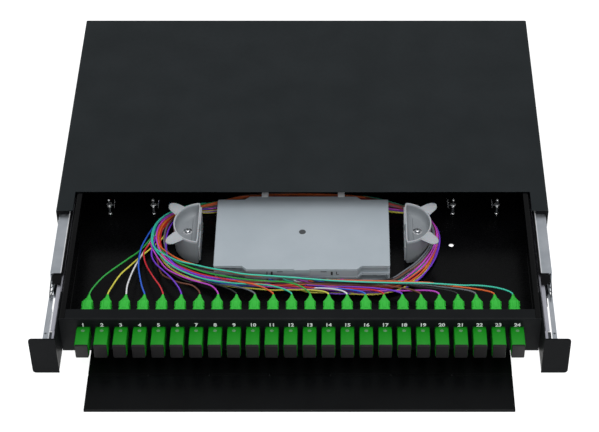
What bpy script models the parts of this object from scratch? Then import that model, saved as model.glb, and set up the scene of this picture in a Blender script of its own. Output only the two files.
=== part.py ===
"""Fiber distribution box: a flat steel sleeve for a rack, with a patch drawer on ball slides.

The drawer stands pulled out and its front flap lies down, which is the rest pose. Sizes are in
metres. The origin is the centre of the sleeve's underside, +Z is up, and the drawer comes out
towards -Y. Right-hand pieces are at +X.
"""
import math

import bmesh
import bpy
from mathutils import Matrix, Vector

# Sheet and gaps
SHEET = 0.0010
BEND_RADIUS = 0.0016
SEAT_GAP = 0.0003
RUN_GAP = 0.0004
JOIN_STEP = 0.0001

# Sleeve, narrower than the ears by the overhang on each side
EAR_SPAN = 0.4826
EAR_OVERHANG = 0.0067
HOUSING_DEPTH = 0.2955
HOUSING_HEIGHT = 0.0444
NOTCH_DEPTH = 0.0263
NOTCH_STRIP = 0.0161
REAR_FLANGE = 0.0120
CABLE_ENTRY_FROM_SIDE = 0.0671
CABLE_ENTRY_WIDTH = 0.0520
CABLE_ENTRY_HEIGHT = 0.0200

# Drawer, narrower than the sleeve by the slide space on each side
DRAWER_TRAVEL = 0.1650
SLIDE_SPACE = 0.0176
CABLE_ROOM = 0.0249
DRAWER_FLANGE = 0.0052
REAR_WALL_HEIGHT = 0.0300
REAR_NOTCH_WIDTH = 0.0700
REAR_NOTCH_DEPTH = 0.0200
FLOOR_HOLE_FROM_SIDE = 0.0737
FLOOR_HOLE_BACK = 0.1352
FLOOR_HOLE_RADIUS = 0.0025
BOSS_RADIUS = 0.0060
BOSS_TIP_RADIUS = 0.0048
BOSSES_FROM_INNER_END = (0.0196, 0.0980)

# Front panel, shelf and flap
PANEL_BEHIND_EARS = 0.0261
LIP_DEPTH = 0.0122
SHELF_FROM_SIDE = 0.0260
HINGE_FORWARD_OF_EARS = 0.0048
FLAP_REACH = 0.0415
KNUCKLE_RADIUS = 0.0012
KNUCKLE_COUNT = 7
ROOT_INSET = 0.0001
PIN_RADIUS = 0.0005
PIN_CLEARANCE = 0.0003

# Ears and their zinc arms
EAR_LESS_HIGH = 0.0004
EAR_SHEET = 0.0015
EAR_CORNER = 0.0032
EAR_FLANGE_LENGTH = 0.0600
ARM_LENGTH = 0.0635
ARM_WIDTH = 0.0045
ARM_INSET = 0.0014

# Ball slides: each member ends this far short of what it runs in
SLIDE_SHEET = 0.0009
SLIDE_TOP_CLEARANCE = 0.0006
BALL_DIAMETER = 0.0022
OUTER_FROM_FRONT = 0.0020
OUTER_FROM_REAR = 0.0195
OUTER_TIP_STEP = 0.0011
MIDDLE_CLOSED_INSET = 0.0037
MIDDLE_SHORTER = 0.0040
MIDDLE_TIP_ROOM = 0.0029
INNER_BEHIND_EARS = 0.0186
INNER_BEFORE_REAR = 0.0088
INNER_TIP_ROOM = 0.0079
CAGE_SHEET = 0.0006
CAGE_SIDE_PLAY = 0.0016
INNER_CAGE_LENGTH = 0.1500
INNER_CAGE_AHEAD = 0.0230
INNER_CAGE_BALLS = 5
OUTER_STRIP_LENGTH = 0.1500
OUTER_STRIP_FROM_FRONT = 0.0060
OUTER_STRIP_EDGE = 0.0033
OUTER_STRIP_BALLS = 3

# Adapters with their caps and connectors, as many as fit between the edges of the panel
PORT_PITCH = 0.0170
PORT_FROM_SIDE = 0.0215
ADAPTER_WIDTH = 0.0122
ADAPTER_HEIGHT = 0.0160
ADAPTER_BELOW_TOP = 0.0185
ADAPTER_OUT = 0.0212
CAP_THICKNESS = 0.0020
CAP_INSET = 0.0003
ADAPTER_FLANGE_GAP = 0.0018
ADAPTER_FLANGE_HEIGHT = 0.0204
ADAPTER_FLANGE_THICKNESS = 0.0020
ADAPTER_BEHIND = 0.0090
CONNECTOR_HEIGHT = 0.0104
CONNECTOR_LENGTH = 0.0230
SHOULDER_LENGTH = 0.0065
SHOULDER_WIDTH = 0.0078
SHOULDER_HEIGHT = 0.0070
NECK_WIDTH = 0.0052
BOOT_LENGTH = 0.0105
BOOT_RADIUS = 0.0024
BOOT_TIP_RADIUS = 0.0013

# Splice trays
TRAY_WIDTH = 0.1660
TRAY_MIDDLE_WIDTH = 0.1040
TRAY_DEPTH = 0.1004
TRAY_STEP = 0.0045
TRAY_EDGE_TAPER = 0.0003
TRAY_BEHIND_EARS = 0.1086
TRAY_HEIGHT = 0.0094
TRAY_WALL = 0.0015
LID_THICKNESS = 0.0014
LID_CLIP_X = 0.0372
LID_CLIP_WIDTH = 0.0068
LID_CLIP_REACH = 0.0060
LID_CLIP_DROP = 0.0040
LID_CLIP_INSET = 0.0003
TRAY_HUB_RADIUS = 0.0050
TRAY_HOLE_RADIUS = 0.0025
COMB_RIBS = 5
COMB_PITCH = 0.0050
COMB_LENGTH = 0.0450
COMB_HEIGHT = 0.0050
COMB_OFFSET_X = 0.0450

# Fibre spools, one beside each end of the trays
SPOOL_FROM_TRAY = 0.0155
SPOOL_BEHIND_TRAY_MIDDLE = 0.0053
SPOOL_RADIUS = 0.0265
SPOOL_WALL = 0.0014
SPOOL_HEIGHT = 0.0282
SPOOL_BOWL = 0.0125
SPOOL_BOSS_X = 0.0118
SPOOL_BOSS_RADIUS = 0.0038
LOBE_OUT = 0.0120
LOBE_WIDTH = 0.0085
LOBE_ANGLE = math.radians(38)
SCREW_SHANK_RADIUS = 0.0013
SCREW_HOLE_RADIUS = 0.0017
SCREW_HEAD_RADIUS = 0.0030
SCREW_CROWN_RADIUS = 0.0021
SCREW_HEAD_HEIGHT = 0.0022
SCREW_EDGE_HEIGHT = 0.0013

# Cable clamps, as many as fit between the fibre loop and the drawer's side
CLAMP_FROM_SIDE = 0.0280
CLAMP_PITCH = 0.0430
CLAMP_FROM_BUNDLE = 0.0080
CLAMP_BEFORE_TRAY_END = 0.0030
CLAMP_LEG_OUT = 0.0046
CLAMP_LEG_WIDTH = 0.0060
CLAMP_LEG_SHEET = 0.0008
CLAMP_LEG_LOW = 0.0081
CLAMP_LEG_HIGH = 0.0201
CLAMP_TONGUE_WIDTH = 0.0054
# Radius and height above the foot, from the screw head down
CLAMP_PROFILE = (
    (0.0000, 0.0213), (0.0018, 0.0213), (0.0026, 0.0205), (0.0026, 0.0189),
    (0.0016, 0.0189), (0.0016, 0.0160), (0.0050, 0.0160), (0.0050, 0.0148),
    (0.0033, 0.0148), (0.0033, 0.0122), (0.0043, 0.0122), (0.0043, 0.0113),
    (0.0018, 0.0113), (0.0018, 0.0028), (0.0036, 0.0028), (0.0036, 0.0000),
    (0.0000, 0.0000),
)
CLAMP_WASHER = 6

# Fibre bundle and pigtails, looped round trays and spools
BUNDLE_RADIUS = 0.0040
BUNDLE_LIFT = 0.0005
BUNDLE_LEFT_OF_SPOOL = 0.0130
BUNDLE_RIGHT_OF_SPOOL = 0.0060
BUNDLE_BEFORE_TRAYS = 0.0116
BUNDLE_BEHIND_TRAYS = 0.0065
BUNDLE_CORNER = 0.0500
CORNER_STEPS = 9
PIGTAIL_RADIUS = 0.00045
PIGTAIL_STEPS = 6
PIGTAIL_RISE = 0.0140
PIGTAIL_DRIFT = 0.15
FIRST_MERGE_INSET = 0.0040
LAST_MERGE_INSET = 0.0260

# Places worked out from the sizes above
HALF_WIDTH = EAR_SPAN / 2 - EAR_OVERHANG
HOUSING_FRONT = -HOUSING_DEPTH / 2
HOUSING_REAR = HOUSING_DEPTH / 2
CABLE_ENTRY_X = HALF_WIDTH - CABLE_ENTRY_FROM_SIDE
EAR_BACK = HOUSING_FRONT - SEAT_GAP - DRAWER_TRAVEL
EAR_FRONT = EAR_BACK - EAR_SHEET
PANEL_FRONT = EAR_FRONT + PANEL_BEHIND_EARS
PANEL_BACK = PANEL_FRONT + SHEET
DRAWER_FRONT = PANEL_BACK + SEAT_GAP
DRAWER_REAR = HOUSING_REAR - CABLE_ROOM - DRAWER_TRAVEL
DRAWER_HALF = HALF_WIDTH - SLIDE_SPACE
DRAWER_BOTTOM = SHEET + RUN_GAP
DRAWER_TOP = HOUSING_HEIGHT - SHEET - RUN_GAP
FLOOR_TOP = DRAWER_BOTTOM + SHEET
STANDING_Z = FLOOR_TOP + SEAT_GAP
SHELF_HALF = DRAWER_HALF - SHELF_FROM_SIDE
HINGE_Y = EAR_FRONT - HINGE_FORWARD_OF_EARS
HINGE_Z = FLOOR_TOP - KNUCKLE_RADIUS
SLIDE_MIDDLE_Z = HOUSING_HEIGHT / 2
BALL_RACE = BALL_DIAMETER + 2 * SEAT_GAP
OUTER_HALF_HEIGHT = HOUSING_HEIGHT / 2 - SHEET - SLIDE_TOP_CLEARANCE
MIDDLE_HALF_HEIGHT = OUTER_HALF_HEIGHT - SLIDE_SHEET - BALL_RACE
INNER_HALF_HEIGHT = MIDDLE_HALF_HEIGHT - SLIDE_SHEET - BALL_RACE
EAR_INSIDE = DRAWER_HALF + SEAT_GAP
OUTER_WEB = HALF_WIDTH - SHEET - SEAT_GAP
MIDDLE_WEB = OUTER_WEB - SLIDE_SHEET - RUN_GAP
MIDDLE_TIP = EAR_INSIDE + EAR_SHEET + MIDDLE_TIP_ROOM
OUTER_TIP = MIDDLE_TIP + OUTER_TIP_STEP
INNER_WEB = EAR_INSIDE + EAR_SHEET + SEAT_GAP
INNER_TIP = MIDDLE_WEB - INNER_TIP_ROOM
OUTER_LENGTH = HOUSING_DEPTH - OUTER_FROM_FRONT - OUTER_FROM_REAR
MIDDLE_LENGTH = OUTER_LENGTH - MIDDLE_SHORTER
MIDDLE_FRONT = HOUSING_FRONT + MIDDLE_CLOSED_INSET - DRAWER_TRAVEL / 2
INNER_FRONT = EAR_FRONT + INNER_BEHIND_EARS
INNER_REAR = DRAWER_REAR - INNER_BEFORE_REAR
ARM_WEB = MIDDLE_WEB - SLIDE_SHEET - RUN_GAP
ARM_TOP_Z = SLIDE_MIDDLE_Z + INNER_HALF_HEIGHT - ARM_INSET
ARM_BOTTOM_Z = SLIDE_MIDDLE_Z - INNER_HALF_HEIGHT + ARM_INSET
WHOLE = 1e-6
PORT_COUNT = int(2 * (DRAWER_HALF - PORT_FROM_SIDE) / PORT_PITCH + 1 + WHOLE)
ADAPTER_Z = DRAWER_TOP - ADAPTER_BELOW_TOP
ADAPTER_FLANGE_WIDTH = PORT_PITCH - ADAPTER_FLANGE_GAP
CONNECTOR_END = ADAPTER_BEHIND + CONNECTOR_LENGTH
SHOULDER_END = CONNECTOR_END + SHOULDER_LENGTH
BOOT_END = SHOULDER_END + BOOT_LENGTH
TRAY_TOP_LOWER = STANDING_Z + TRAY_HEIGHT
TRAY_BASE_UPPER = TRAY_TOP_LOWER + SEAT_GAP
LID_BASE = TRAY_BASE_UPPER + TRAY_HEIGHT + SEAT_GAP
TRAY_FRONT = EAR_FRONT + TRAY_BEHIND_EARS
TRAY_MIDDLE_Y = TRAY_FRONT + TRAY_DEPTH / 2
TRAY_REAR = TRAY_FRONT + TRAY_DEPTH
SPOOL_X = TRAY_WIDTH / 2 + SPOOL_FROM_TRAY
SPOOL_Y = TRAY_MIDDLE_Y + SPOOL_BEHIND_TRAY_MIDDLE
SPOOL_WEB_TOP = STANDING_Z + SPOOL_HEIGHT - SPOOL_BOWL
SPOOL_SCREW_X = SPOOL_X + SPOOL_BOSS_X
LOBE_REACH = SPOOL_RADIUS + LOBE_OUT
BUNDLE_Z = FLOOR_TOP + BUNDLE_LIFT + BUNDLE_RADIUS
BUNDLE_LEFT = -(SPOOL_X + SPOOL_RADIUS + BUNDLE_LEFT_OF_SPOOL)
BUNDLE_RIGHT = SPOOL_X + SPOOL_RADIUS + BUNDLE_RIGHT_OF_SPOOL
BUNDLE_FRONT = TRAY_FRONT - BUNDLE_BEFORE_TRAYS
BUNDLE_REAR = TRAY_REAR + BUNDLE_BEHIND_TRAYS
CLAMP_OUTERMOST = DRAWER_HALF - CLAMP_FROM_SIDE
CLAMP_ROOM = CLAMP_OUTERMOST - CLAMP_FROM_BUNDLE + BUNDLE_LEFT
CLAMPS_PER_SIDE = int(CLAMP_ROOM / CLAMP_PITCH + 1 + WHOLE)
SIDES = (("left", -1), ("right", 1))
REACH_THROUGH = 0.01


def clear_scene():
    """Remove every object of the open scene."""
    for thing in list(bpy.data.objects):
        bpy.data.objects.remove(thing, do_unlink=True)


def collection(name):
    """A new collection linked to the scene."""
    group = bpy.data.collections.new(name)
    bpy.context.scene.collection.children.link(group)
    return group


def finish(name, colour, roughness, metallic=0.0):
    """A Principled material in one colour."""
    material = bpy.data.materials.new(name)
    material.use_nodes = True
    shader = material.node_tree.nodes["Principled BSDF"]
    shader.inputs["Base Color"].default_value = (*colour, 1.0)
    shader.inputs["Roughness"].default_value = roughness
    shader.inputs["Metallic"].default_value = metallic
    return material


def add(name, mesh, material):
    """A piece of the box."""
    piece = bpy.data.objects.new(name, mesh)
    PARTS.objects.link(piece)
    mesh.materials.clear()
    mesh.materials.append(material)
    return piece


def add_tool(name, mesh):
    """A shape that only cuts or joins others."""
    tool = bpy.data.objects.new(name, mesh)
    TOOLS.objects.link(tool)
    tool.hide_render = True
    tool.display_type = "WIRE"
    return tool


def from_bmesh(name, work):
    """Turn a bmesh into a mesh."""
    bmesh.ops.recalc_face_normals(work, faces=work.faces)
    mesh = bpy.data.meshes.new(name)
    work.to_mesh(mesh)
    work.free()
    return mesh


def fill_block(work, low, high):
    """Add one box to a bmesh and return its vertices."""
    low, high = Vector(low), Vector(high)
    place = Matrix.Translation((low + high) / 2) @ Matrix.Diagonal((*(high - low), 1.0))
    return bmesh.ops.create_cube(work, size=1.0, matrix=place)["verts"]


def block(name, low, high):
    """A box between two corners."""
    return blocks(name, [(low, high)])


def blocks(name, corners):
    """Several boxes in one mesh."""
    work = bmesh.new()
    for low, high in corners:
        fill_block(work, low, high)
    return from_bmesh(name, work)


def tapered(name, low, high, end_width, end_height):
    """A box whose far end, at high Y, is drawn in to another width and height."""
    work = bmesh.new()
    corners = fill_block(work, low, high)
    middle_x = (low[0] + high[0]) / 2
    middle_z = (low[2] + high[2]) / 2
    for corner in corners:
        if corner.co.y > (low[1] + high[1]) / 2:
            corner.co.x = middle_x + math.copysign(end_width / 2, corner.co.x - middle_x)
            corner.co.z = middle_z + math.copysign(end_height / 2, corner.co.z - middle_z)
    return from_bmesh(name, work)


def fill_rod(work, start, end, radius, end_radius, steps):
    """Add one round bar or cone to a bmesh."""
    start, end = Vector(start), Vector(end)
    along = end - start
    turn = along.to_track_quat("Z", "Y").to_matrix().to_4x4()
    bmesh.ops.create_cone(work, cap_ends=True, segments=steps, radius1=radius,
                          radius2=end_radius, depth=along.length,
                          matrix=Matrix.Translation((start + end) / 2) @ turn)


def rod(name, start, end, radius, steps=16, end_radius=None):
    """A round bar, or a cone where the end radius differs."""
    work = bmesh.new()
    fill_rod(work, start, end, radius, radius if end_radius is None else end_radius, steps)
    return from_bmesh(name, work)


def curve_mesh(name, curve, flat=False):
    """The closed mesh of a curve, with its caps welded on and a plate's faces kept whole."""
    holder = bpy.data.objects.new(name, curve)
    TOOLS.objects.link(holder)
    seen = holder.evaluated_get(bpy.context.evaluated_depsgraph_get())
    mesh = bpy.data.meshes.new_from_object(seen)
    bpy.data.objects.remove(holder, do_unlink=True)
    work = bmesh.new()
    work.from_mesh(mesh)
    bpy.data.meshes.remove(mesh)
    bmesh.ops.remove_doubles(work, verts=work.verts, dist=1e-6)
    if flat:
        bmesh.ops.dissolve_limit(work, angle_limit=math.radians(0.5),
                                 verts=work.verts, edges=work.edges)
    return from_bmesh(name, work)


PLANES = {
    "XY": Matrix.Identity(4),
    "XZ": Matrix(((1, 0, 0, 0), (0, 0, -1, 0), (0, 1, 0, 0), (0, 0, 0, 1))),
}


def plate(name, outlines, low, high, plane="XY"):
    """Flat outlines, the first with the others as holes, made thick from low to high."""
    curve = bpy.data.curves.new(name, "CURVE")
    curve.dimensions = "2D"
    curve.fill_mode = "BOTH"
    curve.extrude = (high - low) / 2
    for outline in outlines:
        spline = curve.splines.new("POLY")
        spline.points.add(len(outline) - 1)
        spline.use_cyclic_u = True
        for point, place in zip(spline.points, outline):
            point.co = (*place, 0.0, 1.0)
    mesh = curve_mesh(name, curve, flat=True)
    middle = (low + high) / 2
    lift = Matrix.Translation((0, 0, middle if plane == "XY" else -middle))
    mesh.transform(PLANES[plane] @ lift)
    return mesh


def tube(name, places, radius, closed=False, resolution=2):
    """A round wire through the given places."""
    curve = bpy.data.curves.new(name, "CURVE")
    curve.dimensions = "3D"
    curve.bevel_depth = radius
    curve.bevel_resolution = resolution
    curve.use_fill_caps = not closed
    spline = curve.splines.new("POLY")
    spline.points.add(len(places) - 1)
    spline.use_cyclic_u = closed
    for point, place in zip(spline.points, places):
        point.co = (*place, 1.0)
    return curve_mesh(name, curve)


def arc(centre, radius, start, end, steps):
    """Points of an arc in a plane, ends included."""
    turns = (start + (end - start) * step / steps for step in range(steps + 1))
    return [(centre[0] + radius * math.cos(turn), centre[1] + radius * math.sin(turn))
            for turn in turns]


def circle(centre, radius, steps=16):
    """Points of a full circle in a plane."""
    return arc(centre, radius, 0.0, 2 * math.pi, steps)[:-1]


def capsule(centre, width, height, steps=8):
    """Points of a slot with round ends, longest along the first axis."""
    radius = height / 2
    reach = width / 2 - radius
    right = arc((centre[0] + reach, centre[1]), radius, -math.pi / 2, math.pi / 2, steps)
    left = arc((centre[0] - reach, centre[1]), radius, math.pi / 2, 1.5 * math.pi, steps)
    return right + left


def bent(corners, radius, steps=2):
    """A path through the corners with its inner corners rounded."""
    path = [Vector(corners[0])]
    for before, corner, after in zip(corners, corners[1:], corners[2:]):
        corner = Vector(corner)
        back = (Vector(before) - corner).normalized() * radius
        ahead = (Vector(after) - corner).normalized() * radius
        for step in range(steps + 1):
            share = step / steps
            path.append(corner + back * (1 - share) ** 2 + ahead * share ** 2)
    path.append(Vector(corners[-1]))
    return path


def folded(name, corners, plane, low, high, thickness, side, material, radius=BEND_RADIUS):
    """A bent sheet: a path in XZ or YZ drawn out from low to high, thickened to one side."""
    places = {"XZ": lambda u, v, w: (u, w, v), "YZ": lambda u, v, w: (w, u, v)}[plane]
    path = bent(corners, radius)
    work = bmesh.new()
    near = [work.verts.new(places(u, v, low)) for u, v in path]
    edges = [work.edges.new(pair) for pair in zip(near, near[1:])]
    grown = bmesh.ops.extrude_edge_only(work, edges=edges)["geom"]
    moved = [item for item in grown if isinstance(item, bmesh.types.BMVert)]
    bmesh.ops.translate(work, verts=moved, vec=Vector(places(0.0, 0.0, high - low)))
    mesh = bpy.data.meshes.new(name)
    work.to_mesh(mesh)
    work.free()
    piece = add(name, mesh, material)
    thick = piece.modifiers.new("sheet", "SOLIDIFY")
    thick.thickness = thickness
    thick.offset = side
    thick.use_even_offset = True
    return piece


def turned(name, profile, steps, material):
    """A turned piece: a profile of radius and height, top to bottom, about Z."""
    mesh = bpy.data.meshes.new(name)
    points = [(radius, 0.0, height) for radius, height in profile]
    mesh.from_pydata(points, [(at, at + 1) for at in range(len(points) - 1)], [])
    piece = add(name, mesh, material)
    screw = piece.modifiers.new("turn", "SCREW")
    screw.axis = "Z"
    screw.steps = steps
    screw.render_steps = steps
    screw.use_merge_vertices = True
    screw.merge_threshold = 1e-6
    screw.use_smooth_shade = False
    return piece


def boolean(piece, mesh, operation):
    """Cut a mesh out of a piece, or join it on."""
    tool = add_tool(piece.name + "_" + operation.lower(), mesh)
    change = piece.modifiers.new(operation.lower(), "BOOLEAN")
    change.operation = operation
    change.object = tool
    change.solver = "EXACT"


def cut(piece, mesh):
    """Cut a closed mesh out of a piece."""
    boolean(piece, mesh, "DIFFERENCE")


def join(piece, mesh):
    """Join a closed mesh onto a piece."""
    boolean(piece, mesh, "UNION")


def settled(piece):
    """The piece's mesh with its modifiers applied, for copies that share it."""
    seen = piece.evaluated_get(bpy.context.evaluated_depsgraph_get())
    mesh = bpy.data.meshes.new_from_object(seen)
    bpy.data.objects.remove(piece, do_unlink=True)
    return mesh


def carry(name, place, pieces):
    """Hang pieces on an empty at a joint, without moving them."""
    holder = bpy.data.objects.new(name, None)
    PARTS.objects.link(holder)
    holder.location = place
    hold = Matrix.Translation(place).inverted()
    for piece in pieces:
        piece.parent = holder
        piece.matrix_parent_inverse = hold
    return holder


def across(side, near, far):
    """The low and high X of a stretch on one side of the box."""
    return sorted((side * near, side * far))


def make_housing():
    """The folded sleeve with its front notch, and the base with the rear wall."""
    side_path = [(-HALF_WIDTH, 0.0), (-HALF_WIDTH, HOUSING_HEIGHT),
                 (HALF_WIDTH, HOUSING_HEIGHT), (HALF_WIDTH, 0.0)]
    shell = folded("housing_shell", side_path, "XZ", HOUSING_FRONT, HOUSING_REAR,
                   SHEET, 1.0, PAINT)
    notch_half = HALF_WIDTH - NOTCH_STRIP
    cut(shell, block("notch", (-notch_half, HOUSING_FRONT - REACH_THROUGH, DRAWER_TOP),
                     (notch_half, HOUSING_FRONT + NOTCH_DEPTH, HOUSING_HEIGHT + REACH_THROUGH)))

    base_half = HALF_WIDTH - SHEET - SEAT_GAP
    wall_top = HOUSING_HEIGHT - SHEET - SEAT_GAP
    base_path = [(HOUSING_FRONT, 0.0), (HOUSING_REAR, 0.0), (HOUSING_REAR, wall_top)]
    base = folded("housing_base", base_path, "YZ", -base_half, base_half, SHEET, 1.0, PAINT)
    flanges = []
    for _, side in SIDES:
        low, high = across(side, base_half - SHEET, base_half)
        flanges.append(((low, HOUSING_REAR - REAR_FLANGE, SHEET / 2),
                        (high, HOUSING_REAR - SHEET / 2, wall_top)))
    join(base, blocks("corner_flanges", flanges))
    for _, side in SIDES:
        entry = capsule((side * CABLE_ENTRY_X, HOUSING_HEIGHT / 2),
                        CABLE_ENTRY_WIDTH, CABLE_ENTRY_HEIGHT)
        cut(base, plate("cable_entry", [entry], HOUSING_REAR - REACH_THROUGH,
                        HOUSING_REAR + REACH_THROUGH, "XZ"))
    return [shell, base]


def channel(name, side, web, tip, half_height, start, length):
    """One slide member: a C channel from its web's outer face to its flanges' tips."""
    low, high = SLIDE_MIDDLE_Z - half_height, SLIDE_MIDDLE_Z + half_height
    path = [(side * tip, high), (side * web, high), (side * web, low), (side * tip, low)]
    grow = side if web > tip else -side
    return folded(name, path, "XZ", start, start + length, SLIDE_SHEET, grow, ZINC)


def ball_row(along, x, z, count, length):
    """Steel balls in a row, as one mesh of separate balls."""
    work = bmesh.new()
    for number in range(count):
        y = along + length * (number + 0.5) / count
        bmesh.ops.create_uvsphere(work, u_segments=6, v_segments=4, radius=BALL_DIAMETER / 2,
                                  matrix=Matrix.Translation((x, y, z)))
    return from_bmesh("balls", work)


def make_slides():
    """Three-member ball slides: outer, middle and inner channels and their ball cages."""
    groups = {"outer": [], "middle": {}, "inner": [], "inner_cage": {}, "outer_cage": {}}
    for word, side in SIDES:
        groups["outer"].append(channel(
            "slide_outer_" + word, side, OUTER_WEB, OUTER_TIP, OUTER_HALF_HEIGHT,
            HOUSING_FRONT + OUTER_FROM_FRONT, OUTER_LENGTH))
        groups["middle"][word] = [channel(
            "slide_middle_" + word, side, MIDDLE_WEB, MIDDLE_TIP, MIDDLE_HALF_HEIGHT,
            MIDDLE_FRONT, MIDDLE_LENGTH)]
        groups["inner"].append(channel(
            "slide_inner_" + word, side, INNER_WEB, INNER_TIP, INNER_HALF_HEIGHT,
            INNER_FRONT, INNER_REAR - INNER_FRONT))
        groups["inner_cage"][word] = [make_inner_cage(word, side)]
        groups["outer_cage"][word] = make_outer_strips(word, side)
    return groups


def make_inner_cage(word, side):
    """The cage between middle and inner members: a web, two flanges and their balls."""
    start = MIDDLE_FRONT - INNER_CAGE_AHEAD
    web_low, web_high = across(side, INNER_TIP + RUN_GAP, INNER_TIP + RUN_GAP + CAGE_SHEET)
    race = INNER_HALF_HEIGHT + BALL_RACE / 2
    end = start + INNER_CAGE_LENGTH
    flange_low, flange_high = across(side, INNER_WEB + SLIDE_SHEET,
                                     MIDDLE_WEB - SLIDE_SHEET - CAGE_SIDE_PLAY)
    cage = add("inner_ball_cage_" + word,
               block("web", (web_low, start, SLIDE_MIDDLE_Z - race),
                     (web_high, end, SLIDE_MIDDLE_Z + race)), ZINC)
    ball_x = side * (INNER_WEB + SLIDE_SHEET + BALL_DIAMETER / 2 + SEAT_GAP)
    for up in (-1, 1):
        z = SLIDE_MIDDLE_Z + up * race
        join(cage, block("flange", (flange_low, start, z - CAGE_SHEET / 2),
                         (flange_high, end, z + CAGE_SHEET / 2)))
        join(cage, ball_row(start, ball_x, z, INNER_CAGE_BALLS, INNER_CAGE_LENGTH))
    return cage


def make_outer_strips(word, side):
    """The two loose ball strips between the outer and middle members of one side."""
    start = HOUSING_FRONT + OUTER_STRIP_FROM_FRONT
    low, high = across(side, MIDDLE_TIP + OUTER_STRIP_EDGE / 2, MIDDLE_WEB - OUTER_STRIP_EDGE / 2)
    middle_x = (low + high) / 2
    strips = []
    for up, where in ((1, "top"), (-1, "bottom")):
        z = SLIDE_MIDDLE_Z + up * (MIDDLE_HALF_HEIGHT + BALL_RACE / 2)
        strip = add("outer_ball_strip_" + where + "_" + word,
                    block("strip", (low, start, z - CAGE_SHEET / 2),
                          (high, start + OUTER_STRIP_LENGTH, z + CAGE_SHEET / 2)), ZINC)
        join(strip, ball_row(start, middle_x, z, OUTER_STRIP_BALLS, OUTER_STRIP_LENGTH))
        strips.append(strip)
    return strips


def make_tray():
    """The drawer: floor, sides with folded top edges, notched rear wall, slide bosses."""
    inner = DRAWER_HALF - DRAWER_FLANGE
    path = [(-inner, DRAWER_TOP), (-DRAWER_HALF, DRAWER_TOP), (-DRAWER_HALF, DRAWER_BOTTOM),
            (DRAWER_HALF, DRAWER_BOTTOM), (DRAWER_HALF, DRAWER_TOP), (inner, DRAWER_TOP)]
    tray = folded("drawer_tray", path, "XZ", DRAWER_FRONT, DRAWER_REAR, SHEET, -1.0, PAINT)
    wall_top = DRAWER_BOTTOM + REAR_WALL_HEIGHT
    join(tray, block("rear_wall",
                     (SHEET / 2 - DRAWER_HALF, DRAWER_REAR - SHEET, DRAWER_BOTTOM + SHEET / 2),
                     (DRAWER_HALF - SHEET / 2, DRAWER_REAR - SHEET / 4, wall_top)))
    notches = []
    for _, side in SIDES:
        low, high = across(side, CABLE_ENTRY_X - REAR_NOTCH_WIDTH / 2,
                           CABLE_ENTRY_X + REAR_NOTCH_WIDTH / 2)
        notches.append(((low, DRAWER_REAR - REACH_THROUGH, wall_top - REAR_NOTCH_DEPTH),
                        (high, DRAWER_REAR + REACH_THROUGH, wall_top + REACH_THROUGH)))
    cut(tray, blocks("rear_notches", notches))

    bosses = bmesh.new()
    for _, side in SIDES:
        for back in BOSSES_FROM_INNER_END:
            y = INNER_REAR - back
            fill_rod(bosses, (side * (DRAWER_HALF - SHEET / 2), y, SLIDE_MIDDLE_Z),
                     (side * (INNER_WEB - SEAT_GAP), y, SLIDE_MIDDLE_Z),
                     BOSS_RADIUS, BOSS_TIP_RADIUS, 12)
    join(tray, from_bmesh("slide_bosses", bosses))

    holes = bmesh.new()
    low, high = DRAWER_BOTTOM - REACH_THROUGH, FLOOR_TOP + REACH_THROUGH
    places = [(DRAWER_HALF - FLOOR_HOLE_FROM_SIDE, DRAWER_FRONT + FLOOR_HOLE_BACK,
               FLOOR_HOLE_RADIUS)]
    places += [(side * SPOOL_SCREW_X, SPOOL_Y, SCREW_HOLE_RADIUS) for _, side in SIDES]
    for x, y, radius in places:
        fill_rod(holes, (x, y, low), (x, y, high), radius, radius, 12)
    cut(tray, from_bmesh("floor_holes", holes))
    return tray


def knuckle_spans():
    """The X stretches of the hinge knuckles, shelf and flap in turn."""
    pitch = 2 * SHELF_HALF / KNUCKLE_COUNT
    return [(-SHELF_HALF + pitch * at + SEAT_GAP / 2,
             -SHELF_HALF + pitch * (at + 1) - SEAT_GAP / 2)
            for at in range(KNUCKLE_COUNT)]


def add_knuckles(piece, spans, root_y):
    """Roll knuckles onto an edge and bore them for the pin."""
    rolls = bmesh.new()
    for low, high in spans:
        fill_rod(rolls, (low, HINGE_Y, HINGE_Z), (high, HINGE_Y, HINGE_Z),
                 KNUCKLE_RADIUS, KNUCKLE_RADIUS, 12)
    join(piece, from_bmesh("rolls", rolls))
    near, far = sorted((HINGE_Y, root_y))
    join(piece, blocks("roots", [((low, near, DRAWER_BOTTOM + ROOT_INSET),
                                  (high, far, FLOOR_TOP - ROOT_INSET))
                                 for low, high in spans]))
    bore = SHELF_HALF + REACH_THROUGH
    cut(piece, rod("pin_bore", (-bore, HINGE_Y, HINGE_Z), (bore, HINGE_Y, HINGE_Z),
                   PIN_RADIUS + PIN_CLEARANCE, 12))


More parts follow.
